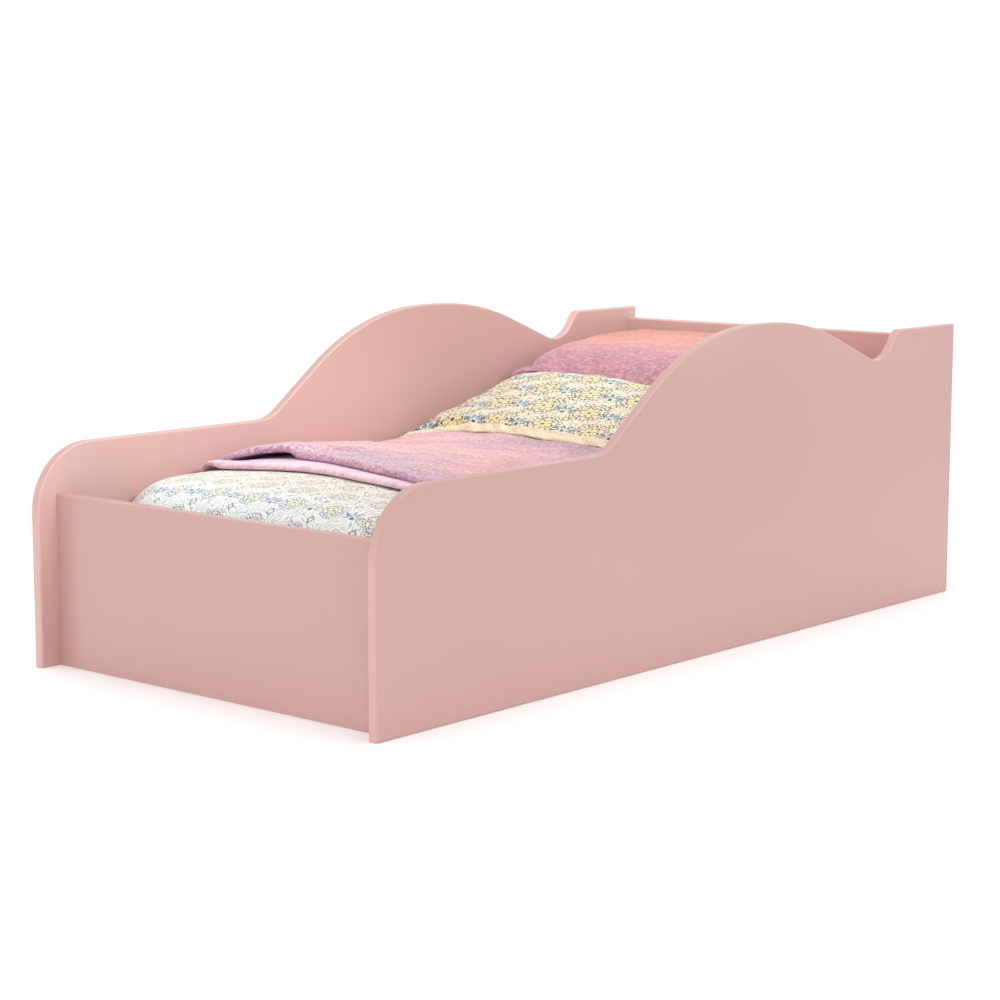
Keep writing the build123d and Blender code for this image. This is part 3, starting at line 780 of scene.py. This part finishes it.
def makeSheet():
    settings, broad, fine = sheetSettings, sheetSettings["broad"], sheetSettings["fine"]
    rings, uvs = blockRings(settings["inset"], settings["around"], False)
    flat = rings.reshape(-1, 3)
    sway = (ripple(flat * np.array(broad["stretch"]), broad["scale"], broad["seed"]) * broad["share"]
            + ripple(flat, fine["scale"], fine["seed"]) * fine["share"])
    lift = np.clip((flat[:, 2] - bed["bottom"] - settings["wrinkleFrom"]) / settings["wrinkleOver"], 0, 1)
    flat[:, 2] += settings["wrinkle"] * (sway - settings["slack"]) * lift
    rows, columns = rings.shape[:2]
    wave = np.sin(np.arange(columns) / columns * 2 * math.pi * settings["gathers"])
    for k in range(settings["gatherRings"]):  # the elastic hem gathers the cloth
        rings[rows - 1 - k, :, 2] += settings["gather"] * (1 - k / settings["gatherRings"]) * (wave + 1) * 0.5
    piece = meshPiece("fittedSheet", flat, stripFaces(rows, columns, closed=True), uvs.reshape(-1, 2),
                      printedCloth("printSheet", settings["look"]))
    weld(piece)
    solid = piece.modifiers.new("cloth", "SOLIDIFY")
    solid.thickness = settings["thickness"]
    solid.offset = -1
    return piece


def makeFoam():
    rings, uvs = blockRings(foamSettings["inset"], foamSettings["around"], True)
    piece = meshPiece("foamCore", rings.reshape(-1, 3), stripFaces(*rings.shape[:2], closed=True),
                      uvs.reshape(-1, 2), foamFinish())
    weld(piece)
    return piece


fittedSheet = makeSheet()
foamCore = makeFoam()
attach(fittedSheet, "mattress")
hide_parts("fitted_sheet")
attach(foamCore, "mattress")
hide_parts("mattress_core")
print("mattress dressed")


# Throw blanket: one sheet folded on itself, carried over the arch of the mattress
# Each list of pairs gives a place across the bed and the value there, straight between them

throw = {
    "flat": (0.70, 1.19), "thickness": 0.0036, "sideReach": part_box("throw_blanket")[1].x - 0.003, "across": 170,
    "steps": {"top": 84, "nose": 14, "under": 26, "foldBack": 8, "low": 36, "lowNose": 12, "tail": 24},
    "pitch": 0.0056, "lift": 0.0022, "clear": 0.0005, "sideFlat": 0.28, "sideFlatOver": (0.22, 0.34),
    "foldBack": -0.22, "foldBackRound": 0.006, "tailEnd": -0.24, "tailStart": 0.03, "slope": (-0.225, -0.085),
    # lower roll: where its nose lies along the bed
    "lowNose": [(-0.35, -0.418), (-0.315, -0.436), (-0.28, -0.445), (-0.22, -0.442), (-0.16, -0.436), (-0.10, -0.432),
                (-0.03, -0.440), (0.06, -0.458), (0.15, -0.470), (0.35, -0.478)],
    "lowStart": 0.02, "lowPuff": 0.0022, "lowLong": 1.3,
    # upper roll, likewise
    "highNose": [(-0.35, -0.396), (-0.32, -0.386), (-0.28, -0.364), (-0.20, -0.357), (-0.15, -0.368), (-0.08, -0.387),
                 (-0.01, -0.412), (0.08, -0.438), (0.17, -0.456), (0.35, -0.466)],
    "underStart": 0.025, "underSettles": 0.12, "noseCalm": 0.03, "noseWave": 0.35,
    # how far the upper and the lower roll stand open, and how full the upper one is
    "gape": [(-0.35, 0.0), (-0.32, 0.002), (-0.28, 0.005), (-0.22, 0.005), (-0.16, 0.001), (-0.10, 0.0), (0.35, 0.001)],
    "gapeReach": 0.14,
    "lowGape": [(-0.35, 0.004), (-0.315, 0.007), (-0.28, 0.001), (-0.25, 0.0), (0.05, 0.0), (0.35, 0.004)],
    "lowGapeReach": 0.07,
    "loft": [(-0.35, 0.0015), (-0.30, 0.003), (-0.18, 0.004), (-0.05, 0.004), (0.35, 0.003)],
    # head edge: how high it stands, and where it lies along the bed
    "headLoft": [(-0.35, 0.011), (-0.26, 0.011), (-0.14, 0.010), (-0.04, 0.004), (0.35, 0.001)],
    "headRise": (-0.07, 0.05),
    "head": [(-0.35, 0.042), (-0.33, 0.046), (-0.313, 0.051), (-0.278, 0.065), (-0.243, 0.0745), (-0.20, 0.077),
             (0.35, 0.077)],
    # height of the far edge, by the place along the bed
    "edge": [(-0.333, 0.026), (-0.276, 0.025), (-0.206, 0.022), (-0.169, 0.017), (-0.134, 0.010), (-0.105, 0.005),
             (-0.071, 0.0035), (-0.047, 0.007), (0.003, 0.009), (0.045, 0.013)],
    "edgeAcross": (0.18, 0.29), "edgeAlong": (-0.36, -0.30), "flapStart": 0.87, "flapMost": 0.92,
    "pleat": {"start": (-0.225, -0.362), "end": (-0.055, -0.290), "height": 0.014, "rise": (-0.007, 0.003),
              "back": (0.02, 0.16), "fadeIn": (-1.6, 0.1), "fadeOut": (0.1, 1.25)},
    "slant": (0.55, 0.35),
    "drag": {"height": 0.0040, "stretch": (2.2, 0.7, 1.0), "scale": 7.5, "seed": 5.3},
    "fine": {"height": 0.0016, "stretch": (1.4, 0.9, 1.0), "scale": 21, "seed": 9.3},
    "hem": {"row": 2, "column": 5, "end": 66, "above": (0, 0, 0.003)},
    "thread": (linear(226, 190, 200), linear(196, 152, 170)),
    "look": {
        # colour ramp of the dye, partly painted shade: the place across the cloth darkens its near side, and the head
        # edge's near corner reaches the deepest stops
        "dyeAndShadeAcross": -0.14, "fadeAlong": 0.7, "fadeStart": -0.12,
        "dyesAndShade": [(0.07, linear(122, 86, 110)), (0.2, linear(184, 126, 136)), (0.33, linear(208, 142, 136)),
                 (0.45, linear(160, 116, 140)), (0.62, linear(174, 134, 160)), (0.8, linear(224, 186, 202))],
        # the streak scale and its strength paint the shade of soft creases; tips paints a highlight on the pile
        "blots": 6, "blotting": 0.5, "blotStretch": (0.7, 1.4, 1), "streaks": 26, "creaseShade": 1.0, "tips": 0.6,
        "nap": linear(238, 204, 212), "napStretch": (0.75, 1.0, 1), "napSharp": 2.6, "napMean": 0.28},
}


def along(table, x):
    xs, ys = zip(*table)
    return np.interp(x, xs, ys)


def smoothStep(value, low, high):
    share = np.clip((value - low) / (high - low), 0, 1)
    return share * share * (3 - 2 * share)


def throwSurface(x, y):
    # height of the top layer's wrinkles: a pleat running in from the upper nose, and soft drag lines
    pleat = throw["pleat"]
    start, end = np.array(pleat["start"]), np.array(pleat["end"])
    run = end - start
    length = float(np.linalg.norm(run))
    run /= length
    dx, dy = x - start[0], y - start[1]
    share = (dx * run[0] + dy * run[1]) / length
    across = dy * run[0] - dx * run[1]
    fade = (1 - smoothStep(share, *pleat["fadeOut"])) * smoothStep(share, *pleat["fadeIn"])
    step = (smoothStep(across, *pleat["rise"]) - 0.5) * (1 - smoothStep(across, *pleat["back"]))
    height = pleat["height"] * fade * step
    spots = np.column_stack([x + throw["slant"][0] * y, y - throw["slant"][1] * x, np.zeros(len(x))])
    for wave in (throw["drag"], throw["fine"]):
        height = height + wave["height"] * ripple(spots * np.array(wave["stretch"]), wave["scale"], wave["seed"])
    return height


def throwProfile(x):
    # (y, height) points along the cloth at one place across the bed, from its head edge to its hidden end
    pitch = throw["pitch"] * (1 - throw["sideFlat"] * smoothStep(-x, *throw["sideFlatOver"]))
    lift, steps, foldBack = throw["lift"], throw["steps"], throw["foldBack"]
    high, low = along(throw["highNose"], x), along(throw["lowNose"], x)
    gape, lowGape, loft = along(throw["gape"], x), along(throw["lowGape"], x), along(throw["loft"], x)
    level = [lift + pitch * k for k in range(4)]
    path = []

    def lifted(y, nose, amount, reach):
        return amount * (1 - smoothStep(y, nose, nose + reach))

    # top layer
    noseRadius = (pitch + loft) / 2
    tops = np.linspace(along(throw["head"], x), high + noseRadius, steps["top"])
    stacked = 1 - smoothStep(tops, *throw["slope"])
    heads = smoothStep(tops, *throw["headRise"]) * along(throw["headLoft"], x)
    height = lift + (level[3] - lift + loft) * stacked + heads + lifted(tops, high, gape, throw["gapeReach"])
    wave = throwSurface(np.full(len(tops), x), tops)
    calm = smoothStep(tops, high, high + throw["noseCalm"])
    height = height + wave * (throw["noseWave"] + (1 - throw["noseWave"]) * calm)
    edge = along(throw["edge"], tops)
    held = smoothStep(-x, *throw["edgeAcross"]) * smoothStep(tops, *throw["edgeAlong"])
    height = np.maximum(height * (1 - held) + edge * held, lift + throw["clear"])
    path += list(zip(tops, height))
    # upper roll, and back under it to the hidden fold
    noseMiddle = height[-1] - noseRadius
    for turn in np.linspace(0, math.pi, steps["nose"])[1:]:
        path.append((high + noseRadius - noseRadius * math.sin(turn), noseMiddle + noseRadius * math.cos(turn)))
    under = path[-1][1]
    for y in np.linspace(high + throw["underStart"], foldBack, steps["under"]):
        settle = smoothStep(y, high, high + throw["underSettles"])
        path.append((y, under * (1 - settle) + level[2] * settle))
    radius = pitch / 2
    for turn in np.linspace(0, math.pi, steps["foldBack"])[1:-1]:
        path.append((foldBack + throw["foldBackRound"] * math.sin(turn), level[1] + radius + radius * math.cos(turn)))
    # lower roll, and the tail under it
    for y in np.linspace(foldBack, low + throw["lowStart"], steps["low"]):
        path.append((y, level[1] + lifted(y, low, lowGape + throw["lowPuff"], throw["lowGapeReach"])))
    lowTop = path[-1][1]
    lowBase = lift + lowGape
    lowRadius = (lowTop - lowBase) / 2
    lowReach = throw["lowLong"] * lowRadius
    for turn in np.linspace(0, math.pi, steps["lowNose"]):
        path.append((low + lowReach - lowReach * math.sin(turn), (lowTop + lowBase) / 2 + lowRadius * math.cos(turn)))
    for y in np.linspace(low + throw["tailStart"], throw["tailEnd"], steps["tail"]):
        path.append((y, lift + lifted(y, low, lowGape, throw["lowGapeReach"])))
    return np.array(path)


def overArch(x01, y, height):
    # point at a share across the cloth (-1 to 1), lifted off the mattress by height
    edge = bed["halfWidth"] - bed["topRound"]
    inner = bed["crownRadius"] - bed["topRound"]
    archTurn = math.asin(edge / inner)
    centreZ = bed["top"] - bed["crownRadius"]
    edgeZ = centreZ + math.sqrt(inner ** 2 - edge ** 2)
    side, share, flapStart = np.sign(x01), np.abs(x01), throw["flapStart"]
    reach = bed["topRound"] + height
    flapTurn = np.arcsin(np.clip((throw["sideReach"] - edge) / reach, -1, throw["flapMost"]))
    onArch = share <= flapStart
    turn = np.where(onArch, archTurn * share / flapStart,
                    archTurn + (flapTurn - archTurn) * (share - flapStart) / (1 - flapStart))
    radius = np.where(onArch, bed["crownRadius"] + height, reach)
    x = np.where(onArch, 0, edge) + radius * np.sin(turn)
    z = np.where(onArch, centreZ, edgeZ) + radius * np.cos(turn)
    return np.stack([side * x, y, z - footFall(y)], axis=-1)


def makeThrow():
    shares = np.linspace(-1, 1, throw["across"])
    columns, uvs = [], []
    for share in shares:
        x = share * throw["sideReach"]
        path = throwProfile(x)
        columns.append(overArch(np.full(len(path), share), path[:, 0], path[:, 1]))
        steps = np.linalg.norm(np.diff(path, axis=0), axis=1)
        uvs.append(np.column_stack([np.full(len(path), x), np.concatenate([[0], np.cumsum(steps)])]))
    grid = np.array(columns)
    piece = meshPiece("throwBlanket", grid.reshape(-1, 3), stripFaces(*grid.shape[:2]), np.array(uvs).reshape(-1, 2),
                      fadedCloth("throwCloth", throw["look"]))
    solid = piece.modifiers.new("cloth", "SOLIDIFY")
    solid.thickness = throw["thickness"]
    solid.offset = 0
    return piece, grid


throwBlanket, throwGrid = makeThrow()
hem = throw["hem"]
inset, rows = hem["column"], slice(hem["row"], hem["end"])
hemLines = [throwGrid[inset + 1:-inset - 1, hem["row"]], throwGrid[inset, rows], throwGrid[-inset - 1, rows]]
throwStitches = stitchPiece("throwStitches", throwBlanket, [line + np.array(hem["above"]) for line in hemLines],
                            threadFinish("throwThread", *throw["thread"]))
for piece in (throwBlanket, throwStitches):
    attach(piece, "throw")
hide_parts("throw_blanket")
print("throw folded")


# Pillows: two faces sewn along a seam, then puffed by a cloth simulation
# A rim is the height of the top face by the share of the way from the foot edge to the head edge

pillowShared = {
    "across": 110, "deep": 60, "clear": 0.0004, "rest": 0.0003, "thinnest": 0.003, "over": 0.004, "overFrom": 0.0005,
    "cornerDraw": 0.02, "cornerPower": 8, "sidePull": 0.004, "footRoundOver": (0.7, 0.95), "endRatio": 0.86,
    "earOver": (0.55, 1.0), "lowCornerOver": (0.55, 0.95), "puckerLong": 0.6,
    "puckers": [{"height": 0.00175, "scale": 11, "seed": 40}, {"height": 0.00075, "scale": 31, "seed": 70}],
    "weltAt": 0.011, "weltWidth": 0.0035, "weltEnds": 4,
}
pillows = {
    "front_pillow": {
        "piece": "frontPillow", "body": "lead_pillow", "slot": "pillow_print", "fill": 0.6, "liesOn": None,
        "half": 0.348, "foot": 0.081, "head": 0.378, "rim": [(0, 0.3165), (0.12, 0.3215), (0.5, 0.351), (1, 0.384)],
        "crown": 0.0124, "crownPower": 2.7, "droop": (0.0154, -0.16, 0.10), "seam": 0.45, "belly": 0.0115,
        "sideRound": 0.085, "footRound": (0.028, 0.026), "headRound": 0.040, "ear": 0.038, "lowCorner": 0.6,
        "welt": 0.0035, "thread": (linear(236, 222, 196), linear(190, 170, 140)),
    },
    "back_pillow": {
        "piece": "backPillow", "body": "rear_pillow", "slot": "blush_cloth", "fill": 0.75, "liesOn": "front_pillow",
        "half": 0.348, "foot": 0.381, "head": 0.7205, "rim": [(0, 0.403), (0.15, 0.416), (0.5, 0.435), (1, 0.445)],
        "crown": 0.0023, "crownPower": 1.8, "droop": (0.036, -0.02, 0.18), "seam": 0.5, "belly": 0.0077,
        "sideRound": 0.048, "footRound": (0.13, 0.016), "headRound": 0.0115, "ear": 0.050, "lowCorner": 0.0,
        "welt": 0.0,
    },
}
printLook = {
    "repeat": 0.100, "bloom": 1.0, "dotPitch": 0.0052, "strips": [(0.003, 0.016), (0.306, 0.011)], "stripSharp": 900,
    "inks": [{"Ground": "cream", "Petal": "butter", "Leaf": "slate", "Ink": "umber", "Ring": "taupe"}],
}
blushLook = {
    "dyeAndShadeAcross": 0.05, "fadeAlong": 2.1, "fadeStart": -0.195,
    "dyesAndShade": [(0.0, linear(150, 110, 130)), (0.2, linear(168, 116, 130)), (0.36, linear(194, 118, 110)),
             (0.64, linear(178, 88, 66)), (1.0, linear(168, 76, 52))],
    # the streak scale and its strength paint the shade of soft creases; tips paints a highlight on the pile
    "blots": 9, "blotting": 0.4, "blotStretch": (0.6, 1.5, 1), "streaks": 34, "creaseShade": 0.8, "tips": 0.9,
    "nap": linear(214, 144, 130), "napStretch": (0.5, 1.0, 1), "napSharp": 2.6, "napMean": 0.16,
}


def rounding(kind, u, v):
    # share of the full height, rounded down to the seam on all four sides
    depth = kind["head"] - kind["foot"]
    middle, end = kind["footRound"]
    footRound = middle + (end - middle) * smoothStep(np.abs(u), *pillowShared["footRoundOver"])
    puff = 1.0
    for reach, size in (((1 - np.abs(u)) * kind["half"], kind["sideRound"]), (v * depth, footRound),
                        ((1 - v) * depth, kind["headRound"])):
        puff = puff * np.sqrt(1 - (1 - np.clip(reach / size, 0, 1)) ** 2)
    return puff


def pillowLevels(kind, x, y):
    v = (y - kind["foot"]) / (kind["head"] - kind["foot"])
    under = bed["top"] + pillowShared["rest"] - crownFall(x)
    shares, heights = zip(*kind["rim"])
    over = np.polyval(np.polyfit(shares, heights, 3), v)
    over = over + kind["crown"] * (1 - np.abs(x / kind["half"]) ** kind["crownPower"])
    over = over + kind["belly"] * np.sin(math.pi * np.clip(v, 0, 1)) * (1 - (x / kind["half"]) ** 4)
    droop, droopStart, droopEnd = kind["droop"]  # the near end sinks in
    over = over - droop * smoothStep(x, droopStart, droopEnd)
    if kind["liesOn"]:
        # its foot corner lies on the pillow in front
        other = pillows[kind["liesOn"]]
        low, high = pillowLevels(other, x, y)
        share = np.clip((y - other["foot"]) / (other["head"] - other["foot"]), 0, 1)
        seam = low + (high - low) * other["seam"]
        top = seam + (high - seam) * rounding(other, np.clip(x / other["half"], -1, 1), share)
        onOther = y < kind["foot"] - pillowShared["overFrom"]
        under = np.where(onOther, np.maximum(under, top + pillowShared["over"]), under)
        over = np.maximum(over, under + pillowShared["thinnest"])
    return under, over


def closerAtEnds(count):
    # from -1 to 1 in steps that get smaller towards both ends
    reach = math.pi / 2 * pillowShared["endRatio"]
    return np.sin(np.linspace(-1, 1, count + 1) * reach) / math.sin(reach)


def makePillow(node, material):
    kind, shared = pillows[node], pillowShared
    depth, halfWidth = kind["head"] - kind["foot"], kind["half"]
    u, v = np.meshgrid(closerAtEnds(shared["across"]), (closerAtEnds(shared["deep"]) + 1) / 2)
    w = 2 * v - 1
    draw = 1 - shared["cornerDraw"] * (np.abs(u) ** shared["cornerPower"]) * (np.abs(w) ** shared["cornerPower"])
    x = u * draw * (halfWidth - shared["sidePull"] * (1 - w ** 2) * np.abs(u))
    y = (kind["foot"] + kind["head"]) / 2 + w * draw * depth / 2
    y -= kind["ear"] * smoothStep(-u, *shared["earOver"]) ** 2 * (1 - v) ** 4
    under, over = pillowLevels(kind, x, y)
    puff = rounding(kind, u, v)
    lowCorner = kind["lowCorner"] * smoothStep(-u, *shared["lowCornerOver"]) * (1 - v) ** 3
    seam = under + (over - under) * kind["seam"] * (1 - lowCorner)
    spots = np.stack([x, y * shared["puckerLong"], np.zeros_like(x)], axis=-1).reshape(-1, 3)
    for wave in shared["puckers"]:
        pucker = ripple(spots, wave["scale"], kind["foot"] * wave["seed"])
        over = over + wave["height"] * pucker.reshape(x.shape)
    welt = kind["welt"] * np.exp(-((v * depth - shared["weltAt"]) / shared["weltWidth"]) ** 2)
    top = seam + (over - seam) * puff - welt
    bottom = seam - (seam - under) * puff
    upper = np.stack([x, y, top], axis=-1)
    lower = np.stack([x, y, bottom], axis=-1)
    rows, columns = u.shape
    index = np.arange(rows * columns).reshape(rows, columns)
    inner = np.zeros_like(index, dtype=bool)
    inner[1:-1, 1:-1] = True
    lowerIndex = index.copy()
    lowerIndex[inner] = rows * columns + np.arange(inner.sum())
    points = np.concatenate([upper.reshape(-1, 3), lower[inner]])
    faces = []
    for i in range(rows - 1):
        for j in range(columns - 1):
            faces.append((index[i, j], index[i, j + 1], index[i + 1, j + 1], index[i + 1, j]))
            faces.append((lowerIndex[i, j], lowerIndex[i + 1, j], lowerIndex[i + 1, j + 1], lowerIndex[i, j + 1]))
    run = np.concatenate([np.zeros((1, columns)), np.cumsum(np.linalg.norm(np.diff(upper, axis=0), axis=-1), axis=0)])
    uvTop = np.stack([x, run], axis=-1)
    uvLow = np.stack([x, -(y - kind["foot"])], axis=-1)
    piece = meshPiece(kind["piece"], points, [tuple(int(k) for k in f) for f in faces],
                      np.concatenate([uvTop.reshape(-1, 2), uvLow[inner]]), material)
    rim = np.unique(np.concatenate([index[0], index[-1], index[:, 0], index[:, -1]]))
    return piece, rim


puffing = {"pressure": 3.0, "frames": 18, "grow": -0.035, "stiffness": 12, "bending": 0.4, "quality": 5,
           "most": 0.007, "slack": (0.002, 0.001, 0.003)}


def puffPillow(piece, rim, kind):
    mesh = piece.data
    start = np.empty(len(mesh.vertices) * 3)
    mesh.vertices.foreach_get("co", start)
    start = start.reshape(-1, 3)
    group = piece.vertex_groups.new(name="seam")
    group.add([int(k) for k in rim], 1.0, "REPLACE")
    cloth = piece.modifiers.new("puff", "CLOTH")
    cloth.settings.use_pressure = True
    cloth.settings.uniform_pressure_force = puffing["pressure"]
    cloth.settings.effector_weights.gravity = 0
    cloth.settings.vertex_group_mass = "seam"
    cloth.settings.shrink_min = puffing["grow"]
    cloth.settings.tension_stiffness = puffing["stiffness"]
    cloth.settings.compression_stiffness = puffing["stiffness"]
    cloth.settings.bending_stiffness = puffing["bending"]
    cloth.settings.quality = puffing["quality"]
    cloth.collision_settings.use_collision = False
    cloth.point_cache.frame_start = 1
    cloth.point_cache.frame_end = puffing["frames"]
    for step in range(1, puffing["frames"] + 1):
        scene.frame_set(step)
    settled = piece.evaluated_get(bpy.context.evaluated_depsgraph_get())
    after = np.empty(len(mesh.vertices) * 3)
    settled.data.vertices.foreach_get("co", after)
    after = after.reshape(-1, 3)
    piece.modifiers.remove(cloth)
    piece.vertex_groups.clear()
    scene.frame_set(1)
    move = after - start
    size = np.linalg.norm(move, axis=1, keepdims=True)
    after = start + move * np.minimum(1, puffing["most"] / np.maximum(size, 1e-9))
    slackAcross, slackAlong, slackUp = puffing["slack"]
    after[:, 0] = np.clip(after[:, 0], -kind["half"] - slackAcross, kind["half"] + slackAcross)
    after[:, 1] = np.clip(after[:, 1], kind["foot"] - slackAlong - kind["ear"], kind["head"] + slackAlong)
    under, over = pillowLevels(kind, after[:, 0], after[:, 1])
    after[:, 2] = np.clip(after[:, 2], under + pillowShared["clear"], over + slackUp)
    mesh.vertices.foreach_set("co", after.ravel())
    mesh.update()
    return after


def finishPillow(node, material):
    kind = pillows[node]
    piece, rim = makePillow(node, material)
    points = puffPillow(piece, rim, kind)
    smooth = piece.modifiers.new("smooth", "SUBSURF")
    smooth.levels = smooth.render_levels = 1
    if kind["welt"]:
        # a row of stitches along the seam of the edge strip
        columns, ends = pillowShared["across"] + 1, pillowShared["weltEnds"]
        reach = (closerAtEnds(pillowShared["deep"]) + 1) / 2 * (kind["head"] - kind["foot"])
        row = int(np.argmin(np.abs(reach - pillowShared["weltAt"])))
        seamLine = points[row * columns + ends:(row + 1) * columns - ends]
        stitches = stitchPiece(kind["piece"] + "Stitches", piece, [seamLine],
                               threadFinish("pillowThread", *kind["thread"]))
        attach(stitches, kind["body"])
    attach(piece, kind["body"])
    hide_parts(node)
    print(kind["piece"], "puffed")


finishPillow("front_pillow", printedCloth("printPillow", printLook))
finishPillow("back_pillow", fadedCloth("blushCloth", blushLook))


# Floor and light

studio = {"floor": 40.0, "floorDrop": 0.0005, "floorTones": ((0.95, 0.95, 0.95, 1), (0.97, 0.97, 0.97, 1)),
          "floorCloud": 0.8, "floorGlow": 0.1, "sky": 1.03}


def floorFinish():
    material, tree, shader = newMaterial("paleFloor", Roughness=0.7, Emission_Color=(1, 1, 1, 1),
                                         Emission_Strength=studio["floorGlow"])
    cloud = speckle(tree, objectPlace(tree), studio["floorCloud"], 2)
    tree.links.new(mixed(tree, cloud, *studio["floorTones"]), shader.inputs["Base Color"])
    return material


floorMesh = bpy.data.meshes.new("floor")
half = studio["floor"]
floorMesh.from_pydata([(-half, -half, 0), (half, -half, 0), (half, half, 0), (-half, half, 0)], [], [(0, 1, 2, 3)])
floorMesh.materials.append(floorFinish())
floor = bpy.data.objects.new("floor", floorMesh)
floor.location.z = -studio["floorDrop"]
scene.collection.objects.link(floor)

lamps = {
    "keyLamp": {"place": (2.0, -3.5, 2.6), "aim": (0, 0, 0.2), "size": (2.4, 2.4), "spread": 180,
                "power": 12, "tint": (1, 1, 1), "shines": True},
    "topLamp": {"place": (0.2, 0.1, 3.2), "aim": (-0.1, 0.45, 0.3), "size": (1.8, 1.8), "spread": 90,
                "power": 8, "tint": (1, 1, 1), "shines": True},
    "bedLamp": {"place": (0.95, -0.65, 1.0), "aim": (-0.35, -0.65, 0.38), "size": (1.5, 0.2), "spread": 30,
                "power": 1.5, "tint": (0.76, 1, 1), "shines": False},
    "headLamp": {"place": (0.75, -0.25, 1.35), "aim": (-0.3, 0.66, 0.43), "size": (0.5, 0.3), "spread": 38,
                 "power": 0.95, "tint": (0.72, 1, 1), "shines": False},
}
for name, lamp in lamps.items():
    light = bpy.data.lights.new(name, "AREA")
    light.shape = "RECTANGLE"
    light.size, light.size_y = lamp["size"]
    light.spread = math.radians(lamp["spread"])
    light.energy = lamp["power"]
    light.color = lamp["tint"]
    holder = bpy.data.objects.new(name, light)
    holder.location = lamp["place"]
    holder.visible_camera = False
    holder.visible_glossy = lamp["shines"]
    holder.rotation_euler = (Vector(lamp["aim"]) - Vector(lamp["place"])).to_track_quat("-Z", "Y").to_euler()
    scene.collection.objects.link(holder)

print("studio lit by", len(lamps), "lamps")

world = bpy.data.worlds.new("studio")
world.use_nodes = True
sky = world.node_tree.nodes["Background"]
sky.inputs["Color"].default_value = (1, 1, 1, 1)
sky.inputs["Strength"].default_value = studio["sky"]
scene.world = world
scene.view_settings.view_transform = "Standard"
scene.view_settings.look = "None"
